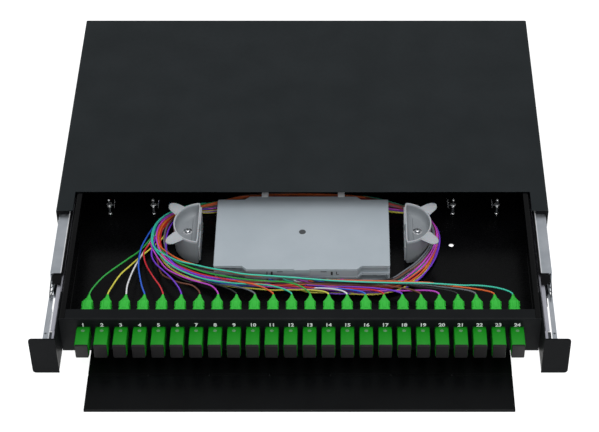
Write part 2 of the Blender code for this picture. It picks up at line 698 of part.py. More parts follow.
def make_front_panel():
    """The bent front: top lip, face with the adapter openings, and the shelf with knuckles."""
    shelf_front = HINGE_Y + KNUCKLE_RADIUS + SEAT_GAP
    path = [(PANEL_FRONT + LIP_DEPTH, DRAWER_TOP), (PANEL_FRONT, DRAWER_TOP),
            (PANEL_FRONT, DRAWER_BOTTOM)]
    panel = folded("front_panel", path, "YZ", -DRAWER_HALF, DRAWER_HALF, SHEET, 1.0, PAINT)
    join(panel, block("shelf", (-SHELF_HALF, shelf_front, DRAWER_BOTTOM),
                      (SHELF_HALF, PANEL_FRONT + SHEET / 2, FLOOR_TOP)))
    lip_corner = DRAWER_HALF - DRAWER_FLANGE - SEAT_GAP
    corners = []
    for _, side in SIDES:
        low, high = across(side, lip_corner, DRAWER_HALF + REACH_THROUGH)
        corners.append(((low, PANEL_BACK + SEAT_GAP / 2, DRAWER_TOP - SHEET - REACH_THROUGH),
                        (high, PANEL_BACK + LIP_DEPTH + REACH_THROUGH,
                         DRAWER_TOP + REACH_THROUGH)))
    cut(panel, blocks("lip_corners", corners))
    openings = []
    for port in range(PORT_COUNT):
        x = port_x(port)
        half_width = ADAPTER_WIDTH / 2 + SEAT_GAP
        half_height = ADAPTER_HEIGHT / 2 + SEAT_GAP
        openings.append(((x - half_width, PANEL_FRONT - REACH_THROUGH, ADAPTER_Z - half_height),
                         (x + half_width, PANEL_FRONT + REACH_THROUGH, ADAPTER_Z + half_height)))
    cut(panel, blocks("adapter_openings", openings))
    add_knuckles(panel, knuckle_spans()[0::2], shelf_front + SHEET)
    return panel


def make_flap():
    """The front door, lying down, with its finger lip and knuckles."""
    root = HINGE_Y - KNUCKLE_RADIUS - SEAT_GAP
    path = [(root, FLOOR_TOP), (HINGE_Y - FLAP_REACH, FLOOR_TOP), (HINGE_Y - FLAP_REACH, 0.0)]
    flap = folded("flap", path, "YZ", -SHELF_HALF, SHELF_HALF, SHEET, 1.0, PAINT,
                  radius=SHEET - ROOT_INSET)
    add_knuckles(flap, knuckle_spans()[1::2], root - SHEET)
    pin = add("hinge_pin", rod("pin", (-SHELF_HALF, HINGE_Y, HINGE_Z),
                               (SHELF_HALF, HINGE_Y, HINGE_Z), PIN_RADIUS, 10), ZINC)
    return flap, pin


def make_ears():
    """Painted L brackets at the drawer's front, and the zinc arms behind them."""
    pieces = []
    height = HOUSING_HEIGHT - EAR_LESS_HIGH
    inner, outer = EAR_INSIDE, EAR_SPAN / 2
    corner = outer - EAR_CORNER
    for word, side in SIDES:
        outline = [(inner, 0.0)]
        outline += arc((corner, EAR_CORNER), EAR_CORNER, -math.pi / 2, 0.0, 4)
        outline += arc((corner, height - EAR_CORNER), EAR_CORNER, 0.0, math.pi / 2, 4)
        outline += [(inner, height)]
        outline = [(side * x, z) for x, z in outline]
        ear = add("ear_" + word, plate("ear", [outline], EAR_FRONT, EAR_BACK, "XZ"), PAINT)
        low, high = across(side, inner, inner + EAR_SHEET)
        join(ear, block("ear_flange", (low, EAR_FRONT + EAR_SHEET / 2, DRAWER_BOTTOM + SHEET),
                        (high, EAR_BACK + EAR_FLANGE_LENGTH, DRAWER_TOP - SHEET)))

        start = EAR_BACK + SEAT_GAP
        path = [(side * (ARM_WEB - ARM_WIDTH), ARM_TOP_Z), (side * ARM_WEB, ARM_TOP_Z),
                (side * ARM_WEB, ARM_BOTTOM_Z)]
        arm = folded("ear_arm_" + word, path, "XZ", start, start + ARM_LENGTH,
                     SLIDE_SHEET, side, ZINC)
        low, high = across(side, ARM_WEB - ARM_WIDTH, ARM_WEB - SLIDE_SHEET / 2)
        join(arm, block("arm_foot", (low, start, ARM_BOTTOM_Z + SLIDE_SHEET),
                        (high, start + SLIDE_SHEET, ARM_TOP_Z - SLIDE_SHEET / 2)))
        pieces += [ear, arm]
    return pieces


def port_x(port):
    """The X of a port's middle, counted from 0 at the left."""
    return (port - (PORT_COUNT - 1) / 2) * PORT_PITCH


def make_adapters():
    """One adapter with cap, connector and boot, copied to every port."""
    half_width, half_height = ADAPTER_WIDTH / 2, ADAPTER_HEIGHT / 2
    behind = SHEET + SEAT_GAP
    overlap = CAP_INSET
    flange_end = behind + ADAPTER_FLANGE_THICKNESS
    first = add("adapter", block("adapter", (-half_width, -ADAPTER_OUT, -half_height),
                                 (half_width, ADAPTER_BEHIND, half_height)), GREEN)
    join(first, block("cap", (CAP_INSET - half_width, -ADAPTER_OUT - CAP_THICKNESS,
                              CAP_INSET - half_height),
                      (half_width - CAP_INSET, overlap - ADAPTER_OUT, half_height - CAP_INSET)))
    join(first, block("flange", (-ADAPTER_FLANGE_WIDTH / 2, behind, -ADAPTER_FLANGE_HEIGHT / 2),
                      (ADAPTER_FLANGE_WIDTH / 2, flange_end, ADAPTER_FLANGE_HEIGHT / 2)))
    grip = half_width - CAP_INSET
    join(first, block("connector", (-grip, ADAPTER_BEHIND - overlap, -CONNECTOR_HEIGHT / 2),
                      (grip, CONNECTOR_END, CONNECTOR_HEIGHT / 2)))
    step = JOIN_STEP
    shoulder_middle = (CONNECTOR_END + SHOULDER_END) / 2
    join(first, tapered("shoulder", (step - grip, CONNECTOR_END - overlap,
                                     step - CONNECTOR_HEIGHT / 2),
                        (grip - step, shoulder_middle, CONNECTOR_HEIGHT / 2 - step),
                        SHOULDER_WIDTH, SHOULDER_HEIGHT))
    join(first, tapered("neck", (step - SHOULDER_WIDTH / 2, shoulder_middle - overlap,
                                 step - SHOULDER_HEIGHT / 2),
                        (SHOULDER_WIDTH / 2 - step, SHOULDER_END, SHOULDER_HEIGHT / 2 - step),
                        NECK_WIDTH, NECK_WIDTH))
    join(first, rod("boot", (0.0, SHOULDER_END - overlap, 0.0), (0.0, BOOT_END, 0.0),
                    BOOT_RADIUS, 8, BOOT_TIP_RADIUS))
    mesh = settled(first)
    copies = []
    for port in range(PORT_COUNT):
        copy = add("adapter_%02d" % (port + 1), mesh, GREEN)
        copy.location = (port_x(port), PANEL_FRONT, ADAPTER_Z)
        copies.append(copy)
    return copies


def tray_outline(inset):
    """The splice tray's outline: a wide body whose middle is a step deeper, front and rear."""
    wide = TRAY_WIDTH / 2 - inset
    middle = TRAY_MIDDLE_WIDTH / 2 - inset / 2
    deep = TRAY_DEPTH / 2 - inset
    shallow = deep - TRAY_STEP
    quarter = [(wide, shallow - TRAY_EDGE_TAPER), (middle + TRAY_STEP, shallow), (middle, deep)]
    rear = quarter + [(-x, y) for x, y in reversed(quarter)]
    front = [(-x, -y) for x, y in rear]
    return [(x, TRAY_MIDDLE_Y + y) for x, y in rear + front]


def make_splice_trays():
    """Two stacked trays, open on top, with a hub and splice combs, and the lid over them."""
    pieces = []
    for word, base in (("lower", STANDING_Z), ("upper", TRAY_BASE_UPPER)):
        tray = add("splice_tray_" + word,
                   plate("tray", [tray_outline(0.0)], base, base + TRAY_HEIGHT), TRAY_PLASTIC)
        hub = circle((0.0, TRAY_MIDDLE_Y), TRAY_HUB_RADIUS)
        cut(tray, plate("pocket", [tray_outline(TRAY_WALL), hub], base + TRAY_WALL,
                        base + TRAY_HEIGHT + REACH_THROUGH))
        ribs = []
        for side in (-1, 1):
            for rib in range(COMB_RIBS):
                x = side * COMB_OFFSET_X + (rib - (COMB_RIBS - 1) / 2) * COMB_PITCH
                ribs.append(((x - TRAY_WALL / 2, TRAY_MIDDLE_Y - COMB_LENGTH / 2,
                              base + TRAY_WALL / 2),
                             (x + TRAY_WALL / 2, TRAY_MIDDLE_Y + COMB_LENGTH / 2,
                              base + TRAY_WALL + COMB_HEIGHT)))
        join(tray, blocks("comb", ribs))
        cut(tray, centre_hole(base))
        pieces.append(tray)

    top = LID_BASE + LID_THICKNESS
    lid = add("splice_tray_lid", plate("lid", [tray_outline(0.0)], LID_BASE, top), TRAY_PLASTIC)
    tip = TRAY_REAR + LID_CLIP_REACH
    clips = []
    for side in (-1, 1):
        low = side * LID_CLIP_X - LID_CLIP_WIDTH / 2
        high = low + LID_CLIP_WIDTH
        clips.append(((low, TRAY_REAR - TRAY_WALL, LID_BASE + JOIN_STEP),
                      (high, tip, top - JOIN_STEP)))
    join(lid, blocks("clips", clips))
    hooks = [((low[0] + LID_CLIP_INSET, tip - TRAY_WALL, top - LID_CLIP_DROP),
              (high[0] - LID_CLIP_INSET, tip - LID_CLIP_INSET, LID_BASE + LID_THICKNESS / 2))
             for low, high in clips]
    join(lid, blocks("clip_hooks", hooks))
    cut(lid, centre_hole(LID_BASE))
    pieces.append(lid)
    return pieces


def centre_hole(base):
    """A drill through the middle of the tray stack."""
    return rod("centre_hole", (0.0, TRAY_MIDDLE_Y, base - REACH_THROUGH),
               (0.0, TRAY_MIDDLE_Y, base + TRAY_HEIGHT + REACH_THROUGH), TRAY_HOLE_RADIUS, 16)


def spool_outline(inset):
    """A half round with its flat side towards the trays, for a right-hand spool at x 0."""
    radius = SPOOL_RADIUS - inset
    turn = math.acos(inset / radius)
    return arc((0.0, 0.0), radius, -turn, turn, 16)


def lobe_outline(angle):
    """A rounded tongue that stands out from the spool's rim."""
    half = LOBE_WIDTH / 2
    root = SPOOL_RADIUS - SPOOL_WALL * 2
    tip = arc((LOBE_REACH - half, 0.0), half, -math.pi / 2, math.pi / 2, 6)
    tongue = [(root, -half)] + tip + [(root, half)]
    return [(x * math.cos(angle) - y * math.sin(angle), x * math.sin(angle) + y * math.cos(angle))
            for x, y in tongue]


def make_spools():
    """The D-shaped fibre spools: a bowl above, hollow below round a screw boss, two lobes."""
    pieces = []
    rim = STANDING_Z + SPOOL_HEIGHT
    web_base = SPOOL_WEB_TOP - SPOOL_WALL
    for word, side in SIDES:
        def placed(outline):
            return [(side * (SPOOL_X + x), SPOOL_Y + y) for x, y in outline]

        boss = circle((SPOOL_BOSS_X, 0.0), SPOOL_BOSS_RADIUS, 12)
        hole = (side * SPOOL_SCREW_X, SPOOL_Y)
        spool = add("spool_" + word,
                    plate("spool", [placed(spool_outline(0.0))], STANDING_Z, rim), SPOOL_PLASTIC)
        for angle in (-LOBE_ANGLE, LOBE_ANGLE):
            join(spool, plate("lobe", [placed(lobe_outline(angle))],
                              rim - SPOOL_WALL, rim - JOIN_STEP))
        cut(spool, plate("bowl", [placed(spool_outline(SPOOL_WALL))],
                         SPOOL_WEB_TOP, rim + REACH_THROUGH))
        cut(spool, plate("under", [placed(spool_outline(SPOOL_WALL)), placed(boss)],
                         STANDING_Z - REACH_THROUGH, web_base))
        cut(spool, rod("screw_hole", (*hole, STANDING_Z - REACH_THROUGH),
                       (*hole, rim + REACH_THROUGH), SCREW_HOLE_RADIUS, 12))
        head_base = SPOOL_WEB_TOP + SEAT_GAP
        head_top = head_base + SCREW_HEAD_HEIGHT
        profile = [(0.0, head_top), (SCREW_CROWN_RADIUS, head_top),
                   (SCREW_HEAD_RADIUS, head_base + SCREW_EDGE_HEIGHT),
                   (SCREW_HEAD_RADIUS, head_base), (SCREW_SHANK_RADIUS, head_base),
                   (SCREW_SHANK_RADIUS, DRAWER_BOTTOM), (0.0, DRAWER_BOTTOM)]
        screw = turned("spool_screw_" + word, profile, 12, ZINC)
        screw.location = (*hole, 0.0)
        pieces += [spool, screw]
    return pieces


def make_clamps():
    """Strength-member clamps: a stud with screw, washer and nut, and a small angle leg."""
    first = turned("clamp", CLAMP_PROFILE, 8, CHROME)
    leg = CLAMP_LEG_OUT + CLAMP_LEG_SHEET
    half = CLAMP_LEG_WIDTH / 2
    tongue_half = CLAMP_TONGUE_WIDTH / 2
    tongue = CLAMP_PROFILE[CLAMP_WASHER][1] - CLAMP_LEG_SHEET
    join(first, block("leg", (CLAMP_LEG_OUT, -half, CLAMP_LEG_LOW),
                      (leg, half, CLAMP_LEG_HIGH)))
    join(first, block("tongue", (0.0, -tongue_half, tongue - JOIN_STEP),
                      (leg - CLAMP_LEG_SHEET / 4, tongue_half,
                       tongue + CLAMP_LEG_SHEET - JOIN_STEP)))
    mesh = settled(first)
    clamps = []
    places = sorted(side * (CLAMP_OUTERMOST - CLAMP_PITCH * at)
                    for _, side in SIDES for at in range(CLAMPS_PER_SIDE))
    for number, x in enumerate(places):
        clamp = add("cable_clamp_%d" % (number + 1), mesh, CHROME)
        clamp.location = (x, TRAY_REAR - CLAMP_BEFORE_TRAY_END, STANDING_Z)
        clamp.rotation_euler.z = 0.0 if x < 0 else math.pi
        clamps.append(clamp)
    return clamps


def bundle_front(x):
    """The Y of the bundle's front run at x, its two front corners included."""
    for corner in (BUNDLE_LEFT + BUNDLE_CORNER, BUNDLE_RIGHT - BUNDLE_CORNER):
        beyond = (x - corner) * math.copysign(1.0, corner)
        if beyond > 0:
            drop = math.sqrt(BUNDLE_CORNER ** 2 - beyond ** 2)
            return BUNDLE_FRONT + BUNDLE_CORNER - drop
    return BUNDLE_FRONT


def pigtail_path(port):
    """From a boot's tip back and down into the bundle, on one smooth curve."""
    share = port / (PORT_COUNT - 1)
    start = Vector((port_x(port), PANEL_FRONT + BOOT_END + SEAT_GAP, ADAPTER_Z))
    first = BUNDLE_LEFT + FIRST_MERGE_INSET
    last = BUNDLE_RIGHT - LAST_MERGE_INSET
    merge_x = first + share * (last - first)
    end = Vector((merge_x, bundle_front(merge_x), BUNDLE_Z))
    bend = Vector((start.x + PIGTAIL_DRIFT * (end.x - start.x), start.y + PIGTAIL_RISE, start.z))
    places = []
    for step in range(PIGTAIL_STEPS):
        at = step / (PIGTAIL_STEPS - 1)
        places.append(start * (1 - at) ** 2 + bend * 2 * at * (1 - at) + end * at ** 2)
    return places


def make_harness():
    """The looped bundle round trays and spools, with a pigtail from every connector."""
    corners = ((BUNDLE_RIGHT, BUNDLE_REAR, 0.0), (BUNDLE_LEFT, BUNDLE_REAR, 0.5 * math.pi),
               (BUNDLE_LEFT, BUNDLE_FRONT, math.pi), (BUNDLE_RIGHT, BUNDLE_FRONT, 1.5 * math.pi))
    loop = []
    for x, y, start in corners:
        centre = (x - math.copysign(BUNDLE_CORNER, x),
                  y - BUNDLE_CORNER if y == BUNDLE_REAR else y + BUNDLE_CORNER)
        loop += arc(centre, BUNDLE_CORNER, start, start + math.pi / 2, CORNER_STEPS)
    harness = add("fibre_harness", tube("loop", [(x, y, BUNDLE_Z) for x, y in loop],
                                        BUNDLE_RADIUS, closed=True), FIBRE)
    strands = bmesh.new()
    for port in range(PORT_COUNT):
        strand = tube("pigtail", pigtail_path(port), PIGTAIL_RADIUS, resolution=1)
        strands.from_mesh(strand)
        bpy.data.meshes.remove(strand)
    join(harness, from_bmesh("pigtails", strands))
    return harness


clear_scene()
PARTS = collection("fiber_distribution_box")
TOOLS = collection("cutters")

PAINT = finish("charcoal_powder_coat", (0.026, 0.029, 0.031), 0.42)
ZINC = finish("zinc_plated_steel", (0.42, 0.45, 0.48), 0.34, 1.0)
CHROME = finish("bright_steel", (0.60, 0.61, 0.62), 0.20, 1.0)
GREEN = finish("green_plastic", (0.020, 0.330, 0.045), 0.38)
TRAY_PLASTIC = finish("pale_grey_plastic", (0.42, 0.47, 0.51), 0.45)
SPOOL_PLASTIC = finish("natural_plastic", (0.45, 0.46, 0.46), 0.40)
FIBRE = finish("fibre_jacket", (0.45, 0.30, 0.36), 0.45)

housing = make_housing()
slides = make_slides()
tray = make_tray()
panel = make_front_panel()
flap, hinge_pin = make_flap()
drawer = [tray, panel, hinge_pin, *make_ears(), *make_adapters(), *make_splice_trays(),
          *make_spools(), *make_clamps(), make_harness(), *slides["inner"]]

runner = (0.0, HOUSING_FRONT, SLIDE_MIDDLE_Z)
carry("housing_frame", (0.0, 0.0, 0.0), housing + slides["outer"])
drawer_frame = carry("drawer_slide_axis", runner, drawer)
for side_word, side_sign in SIDES:
    rail = (side_sign * MIDDLE_WEB, HOUSING_FRONT, SLIDE_MIDDLE_Z)
    carry("middle_slide_axis_" + side_word, rail, slides["middle"][side_word])
    carry("inner_cage_axis_" + side_word, rail, slides["inner_cage"][side_word])
    carry("outer_cage_axis_" + side_word, rail, slides["outer_cage"][side_word])
flap_frame = carry("flap_hinge_axis", (0.0, HINGE_Y, HINGE_Z), [flap])
flap_frame.parent = drawer_frame
flap_frame.matrix_parent_inverse = Matrix.Translation(runner).inverted()
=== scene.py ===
import math

import bmesh
import bpy
from mathutils import Matrix, Vector


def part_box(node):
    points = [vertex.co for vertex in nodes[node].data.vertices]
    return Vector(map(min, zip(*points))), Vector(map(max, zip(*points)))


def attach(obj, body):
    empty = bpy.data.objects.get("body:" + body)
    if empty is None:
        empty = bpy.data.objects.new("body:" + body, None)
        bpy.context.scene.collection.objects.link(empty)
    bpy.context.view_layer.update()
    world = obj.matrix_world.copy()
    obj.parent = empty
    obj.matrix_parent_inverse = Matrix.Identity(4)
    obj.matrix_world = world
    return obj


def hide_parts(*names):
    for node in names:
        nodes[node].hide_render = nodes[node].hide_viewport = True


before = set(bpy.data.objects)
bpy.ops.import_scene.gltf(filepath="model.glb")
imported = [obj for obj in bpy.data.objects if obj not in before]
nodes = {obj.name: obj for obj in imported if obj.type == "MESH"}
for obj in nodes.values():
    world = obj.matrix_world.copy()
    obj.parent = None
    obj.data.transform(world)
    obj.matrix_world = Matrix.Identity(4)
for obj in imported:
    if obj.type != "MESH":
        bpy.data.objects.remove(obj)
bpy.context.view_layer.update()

# Camera
# The photograph looks down on the front of the box from a little to its right, with a long
# lens that is shifted to the side so that the box stays in the middle of the picture.
camera_data = bpy.data.cameras.new("camera")
camera_data.lens = 111.7
camera_data.sensor_width = 36.0
camera_data.shift_x = -0.066
camera_data.shift_y = 0.002
camera = bpy.data.objects.new("camera", camera_data)
camera.location = (0.035, -1.43515, 1.2571)
camera.rotation_euler = (math.radians(46.5), 0.0, 0.0)
bpy.context.scene.collection.objects.link(camera)
bpy.context.scene.camera = camera

# Floor and studio light
# A white table and white surroundings, as in a cut-out catalogue picture, with one large
# soft lamp overhead and a weak one in front that puts glints on the screws and clamps.
bpy.context.scene.view_settings.view_transform = "Standard"
world = bpy.data.worlds.new("studio")
world.use_nodes = True
world.node_tree.nodes["Background"].inputs["Color"].default_value = (0.97, 0.985, 1.0, 1.0)
world.node_tree.nodes["Background"].inputs["Strength"].default_value = 0.55
bpy.context.scene.world = world

floor_work = bmesh.new()
bmesh.ops.create_grid(floor_work, x_segments=4, y_segments=4, size=4.0,
                      matrix=Matrix.Translation((0.0, 0.0, -0.0002)))
floor_mesh = bpy.data.meshes.new("floor")
floor_work.to_mesh(floor_mesh)
floor_work.free()
floor = bpy.data.objects.new("floor", floor_mesh)
bpy.context.scene.collection.objects.link(floor)
floor_material = bpy.data.materials.new("white_table")
floor_material.use_nodes = True
floor_shader = floor_material.node_tree.nodes["Principled BSDF"]
floor_shader.inputs["Base Color"].default_value = (0.40, 0.40, 0.40, 1.0)
floor_shader.inputs["Roughness"].default_value = 0.9
floor_shader.inputs["Specular IOR Level"].default_value = 0.0
floor_shader.inputs["Emission Color"].default_value = (1.0, 1.0, 1.0, 1.0)
floor_shader.inputs["Emission Strength"].default_value = 0.90
floor_mesh.materials.append(floor_material)


def soft_lamp(name, place, target, size, power):
    """A large square area lamp that faces a point."""
    data = bpy.data.lights.new(name, "AREA")
    data.size = size
    data.energy = power
    lamp = bpy.data.objects.new(name, data)
    lamp.location = place
    aim = Vector(target) - Vector(place)
    lamp.rotation_euler = aim.to_track_quat("-Z", "Y").to_euler()
    bpy.context.scene.collection.objects.link(lamp)


soft_lamp("overhead_lamp", (0.1, -0.5, 1.9), (0.0, -0.15, 0.0), 1.3, 15.0)
soft_lamp("front_lamp", (0.25, -1.7, 0.75), (0.0, -0.12, 0.01), 0.5, 4.0)

# Sleeve: housing shell and base
# Folded steel sheet, 1 mm, with a matt charcoal powder coat that lies thick and round on the
# edges. The coat has a fine orange peel and is a little uneven from place to place.
MM = 0.001


def effect(name, inputs, outputs):
    """A shader group with named sockets, and its two end nodes."""
    group = bpy.data.node_groups.new(name, "ShaderNodeTree")
    for label, kind, value in inputs:
        socket = group.interface.new_socket(label, in_out="INPUT", socket_type=kind)
        socket.default_value = value
    for label, kind in outputs:
        group.interface.new_socket(label, in_out="OUTPUT", socket_type=kind)
    return group, group.nodes.new("NodeGroupInput"), group.nodes.new("NodeGroupOutput")


def noise(group, source, scale, detail=2.0):
    """A noise texture in a group, with its scale as a number or as another node's socket."""
    texture = group.nodes.new("ShaderNodeTexNoise")
    texture.inputs["Detail"].default_value = detail
    group.links.new(source, texture.inputs["Vector"])
    if isinstance(scale, (int, float)):
        texture.inputs["Scale"].default_value = scale
    else:
        group.links.new(scale, texture.inputs["Scale"])
    return texture.outputs["Fac"]


def between(group, share, low, high):
    """A mix of two numbers or two colours in a group."""
    mix = group.nodes.new("ShaderNodeMix")
    mix.data_type = "RGBA" if low.type == "RGBA" else "FLOAT"
    first, second = ("A_Color", "B_Color") if low.type == "RGBA" else ("A_Float", "B_Float")
    sockets = {socket.identifier: socket for socket in mix.inputs}
    group.links.new(share, sockets["Factor_Float"])
    group.links.new(low, sockets[first])
    group.links.new(high, sockets[second])
    return next(out for out in mix.outputs if out.enabled)


def sharper(group, share, low, high):
    """A noise value spread out so that it runs from 0 to 1 between two values."""
    spread = group.nodes.new("ShaderNodeMapRange")
    spread.inputs["From Min"].default_value = low
    spread.inputs["From Max"].default_value = high
    group.links.new(share, spread.inputs["Value"])
    return spread.outputs["Result"]


GRAIN_SOCKETS = [("Shade", "NodeSocketColor", (0.02, 0.02, 0.02, 1.0)),
                 ("Pale shade", "NodeSocketColor", (0.03, 0.03, 0.03, 1.0)),
                 ("Grain", "NodeSocketFloat", 900.0),
                 ("Smoothest", "NodeSocketFloat", 0.35),
                 ("Roughest", "NodeSocketFloat", 0.50)]
GRAIN_RESULTS = [("Color", "NodeSocketColor"), ("Roughness", "NodeSocketFloat"),
                 ("Height", "NodeSocketFloat")]
surface_grain, grain_in, grain_out = effect("surface_grain", GRAIN_SOCKETS, GRAIN_RESULTS)
grain_place = surface_grain.nodes.new("ShaderNodeTexCoord").outputs["Object"]
cloudy = sharper(surface_grain, noise(surface_grain, grain_place, 23.0, 4.0), 0.35, 0.65)
patchy = sharper(surface_grain, noise(surface_grain, grain_place, 310.0, 3.0), 0.3, 0.7)
peel = noise(surface_grain, grain_place, grain_in.outputs["Grain"], 3.0)
surface_grain.links.new(between(surface_grain, cloudy, grain_in.outputs["Shade"],
                                grain_in.outputs["Pale shade"]), grain_out.inputs["Color"])
surface_grain.links.new(between(surface_grain, patchy, grain_in.outputs["Smoothest"],
                                grain_in.outputs["Roughest"]), grain_out.inputs["Roughness"])
surface_grain.links.new(peel, grain_out.inputs["Height"])


def finish(name, shade, pale, grain, rough, bump, effect_group=surface_grain, **own):
    """A Principled material whose colour, roughness and relief come from a shader group."""
    material = bpy.data.materials.new(name)
    material.use_nodes = True
    tree = material.node_tree
    shader = tree.nodes["Principled BSDF"]
    look = tree.nodes.new("ShaderNodeGroup")
    look.node_tree = effect_group
    look.inputs["Shade"].default_value = (*shade, 1.0)
    look.inputs["Pale shade"].default_value = (*pale, 1.0)
    look.inputs["Grain"].default_value = grain
    look.inputs["Smoothest"].default_value = rough[0]
    look.inputs["Roughest"].default_value = rough[1]
    relief = tree.nodes.new("ShaderNodeBump")
    relief.inputs["Strength"].default_value = bump
    relief.inputs["Distance"].default_value = 0.00012
    tree.links.new(look.outputs["Color"], shader.inputs["Base Color"])
    tree.links.new(look.outputs["Roughness"], shader.inputs["Roughness"])
    tree.links.new(look.outputs["Height"], relief.inputs["Height"])
    tree.links.new(relief.outputs["Normal"], shader.inputs["Normal"])
    for label, value in own.items():
        shader.inputs[label.replace("_", " ")].default_value = value
    return material


powder_coat = finish("charcoal_powder_coat", (0.0052, 0.0086, 0.0104),
                     (0.0086, 0.0124, 0.0146), 1400.0, (0.40, 0.50), 0.35,
                     Specular_IOR_Level=0.22)


def dress(names, material):
    """Give CAD nodes that stay in view their finish."""
    for name in names:
        for place in nodes[name].material_slots:
            place.material = material


def round_edges(names, width):
    """Fine round edges on CAD sheet pieces, as their coat or plating gives them."""
    for name in names:
        weld = nodes[name].modifiers.new("weld", "WELD")
        weld.merge_threshold = 0.00001
        edge = nodes[name].modifiers.new("round_edge", "BEVEL")
        edge.width = width
        edge.segments = 2
        edge.limit_method = "ANGLE"
        edge.angle_limit = math.radians(40)


dress(["housing_shell", "housing_base"], powder_coat)
round_edges(["housing_shell"], 0.0003)

# Slides
# Three C channels a side, one in the other, rolled from zinc-plated steel strip. Rolling
# leaves fine streaks along them. The outer one is riveted to the sleeve.
streaks, streak_in, streak_out = effect("rolling_streaks", GRAIN_SOCKETS, GRAIN_RESULTS)
streak_place = streaks.nodes.new("ShaderNodeTexCoord").outputs["Object"]
stretched = streaks.nodes.new("ShaderNodeVectorMath")
stretched.operation = "MULTIPLY"
stretched.inputs[1].default_value = (1.0, 0.03, 1.0)
streaks.links.new(streak_place, stretched.inputs[0])
lines = noise(streaks, stretched.outputs["Vector"], streak_in.outputs["Grain"], 4.0)
clouds = sharper(streaks, noise(streaks, streak_place, 60.0, 4.0), 0.35, 0.65)
streaks.links.new(between(streaks, clouds, streak_in.outputs["Shade"],
                          streak_in.outputs["Pale shade"]), streak_out.inputs["Color"])
streaks.links.new(between(streaks, sharper(streaks, lines, 0.3, 0.7),
                          streak_in.outputs["Smoothest"], streak_in.outputs["Roughest"]),
                  streak_out.inputs["Roughness"])
streaks.links.new(lines, streak_out.inputs["Height"])

zinc = finish("zinc_plate", (0.47, 0.50, 0.54), (0.56, 0.59, 0.63), 2600.0,
              (0.30, 0.46), 0.25, streaks, Metallic=1.0)
inner_zinc = finish("warm_zinc_plate", (0.50, 0.50, 0.56), (0.58, 0.58, 0.64), 2600.0,
                    (0.34, 0.48), 0.25, streaks, Metallic=1.0)
SIDES = (("left", -1), ("right", 1))
dress(["slide_outer_left", "slide_outer_right", "slide_middle_left", "slide_middle_right",
       "outer_ball_strip_top_left", "outer_ball_strip_top_right",
       "outer_ball_strip_bottom_left", "outer_ball_strip_bottom_right"], zinc)
dress(["slide_inner_left", "slide_inner_right"], inner_zinc)

# Inner ball cages
# A thin zinc cage between the middle and the inner channel carries the balls. Its flanges
# are cut out like ladders, and two spring prongs on its upper front close to a narrow V.
bright_steel = finish("bright_steel", (0.62, 0.63, 0.65), (0.70, 0.71, 0.73), 3000.0,
                      (0.12, 0.22), 0.1, streaks, Metallic=1.0)
# Dark steel for the cage prongs and the arm screws. On the arms' dimples and tabs, in the spool
# screws' recesses and on the clamp studs the same dark steel is painted shade.
dark_steel_and_shade = finish("dark_steel_and_shade", (0.10, 0.11, 0.12), (0.15, 0.16, 0.17), 2600.0,
                    (0.35, 0.5), 0.2, streaks, Metallic=0.8)
CAGE_SHEET = 0.0004
CAGE_WEB = 0.22425
CAGE_EDGE = 0.0001
BALL_RADIUS = 0.0011
BALLS_PER_CAGE = 20
RUNG_WIDTH = 0.0022
RAIL_WIDTH = 0.0011
RUNG_INSET = 0.0005
RUNG_THINNER = 0.00002
BALL_LINE = 0.2241
BALL_SHARE = 0.65
LADDER_NEAR = 0.2228
LADDER_START = -0.2264
PRONG_NEAR = 0.2266
PRONG_FAR = 0.2302
PRONG_NEAR_TIP = 0.2284
PRONG_FAR_TIP = 0.2290
PRONG_RADIUS = 0.0006
CROSS_REACH = 0.0033
CROSS_RADIUS = 0.0005
PRONG_START = -0.2380
PRONG_ROOT = -0.2262
PRONG_TIP = -0.2555


def slab(work, low, high, edge=0.0, steps=1):
    """A block from its lowest to its highest corner, with its edges rounded off."""
    low, high = Vector(low), Vector(high)
    place = Matrix.Translation((low + high) / 2) @ Matrix.Diagonal((*(high - low), 1.0))
    corners = bmesh.ops.create_cube(work, size=1.0, matrix=place)["verts"]
    if edge:
        edges = list({line for corner in corners for line in corner.link_edges})
        bmesh.ops.bevel(work, geom=edges, offset=edge, segments=steps, affect="EDGES",
                        profile=0.5)


def side_slab(work, side, near, far, front, rear, base, top, edge=0.0, steps=1):
    """A block on one side of the box, between two distances out from the middle."""
    low_x, high_x = sorted((side * near, side * far))
    slab(work, (low_x, front, base), (high_x, rear, top), edge, steps)


def loft(work, rings, hoop=False):
    """A skin over rings of points, with an end face on each end ring or closed to a hoop."""
    lines = [[work.verts.new(point) for point in ring] for ring in rings]
    count = len(lines[0])
    for near, far in zip(lines, lines[1:] + lines[:1] if hoop else lines[1:]):
        for at in range(count):
            after = (at + 1) % count
            work.faces.new((near[at], near[after], far[after], far[at]))
    if not hoop:
        work.faces.new(lines[0])
        work.faces.new(lines[-1])


def lathe(work, profile, centre, steps=32):
    """A turned shape about an upright line: radius and height of its outline, top to bottom."""
    rings = []
    for radius, height in profile:
        radius = max(radius, 0.00001)
        rings.append([(centre[0] + radius * math.cos(2 * math.pi * at / steps),
                       centre[1] + radius * math.sin(2 * math.pi * at / steps),
                       centre[2] + height) for at in range(steps)])
    loft(work, rings)


def wire(work, places, radius, steps=8):
    """A round wire through places."""
    rings = []
    for at, place in enumerate(places):
        before = Vector(places[max(at - 1, 0)])
        after = Vector(places[min(at + 1, len(places) - 1)])
        turn = (after - before).to_track_quat("Z", "Y")
        rings.append([Vector(place) + turn @ Vector((radius * math.cos(2 * math.pi * k / steps),
                                                     radius * math.sin(2 * math.pi * k / steps),
                                                     0.0)) for k in range(steps)])
    loft(work, rings)


def made(name, work, material, body="drawer", smooth=35.0):
    """A piece from a bmesh, with its finish and the body it rides on."""
    bmesh.ops.recalc_face_normals(work, faces=work.faces)
    mesh = bpy.data.meshes.new(name)
    work.to_mesh(mesh)
    work.free()
    for face in mesh.polygons:
        face.use_smooth = True
    mesh.set_sharp_from_angle(angle=math.radians(smooth))
    mesh.materials.append(material)
    return placed(name, mesh, body)


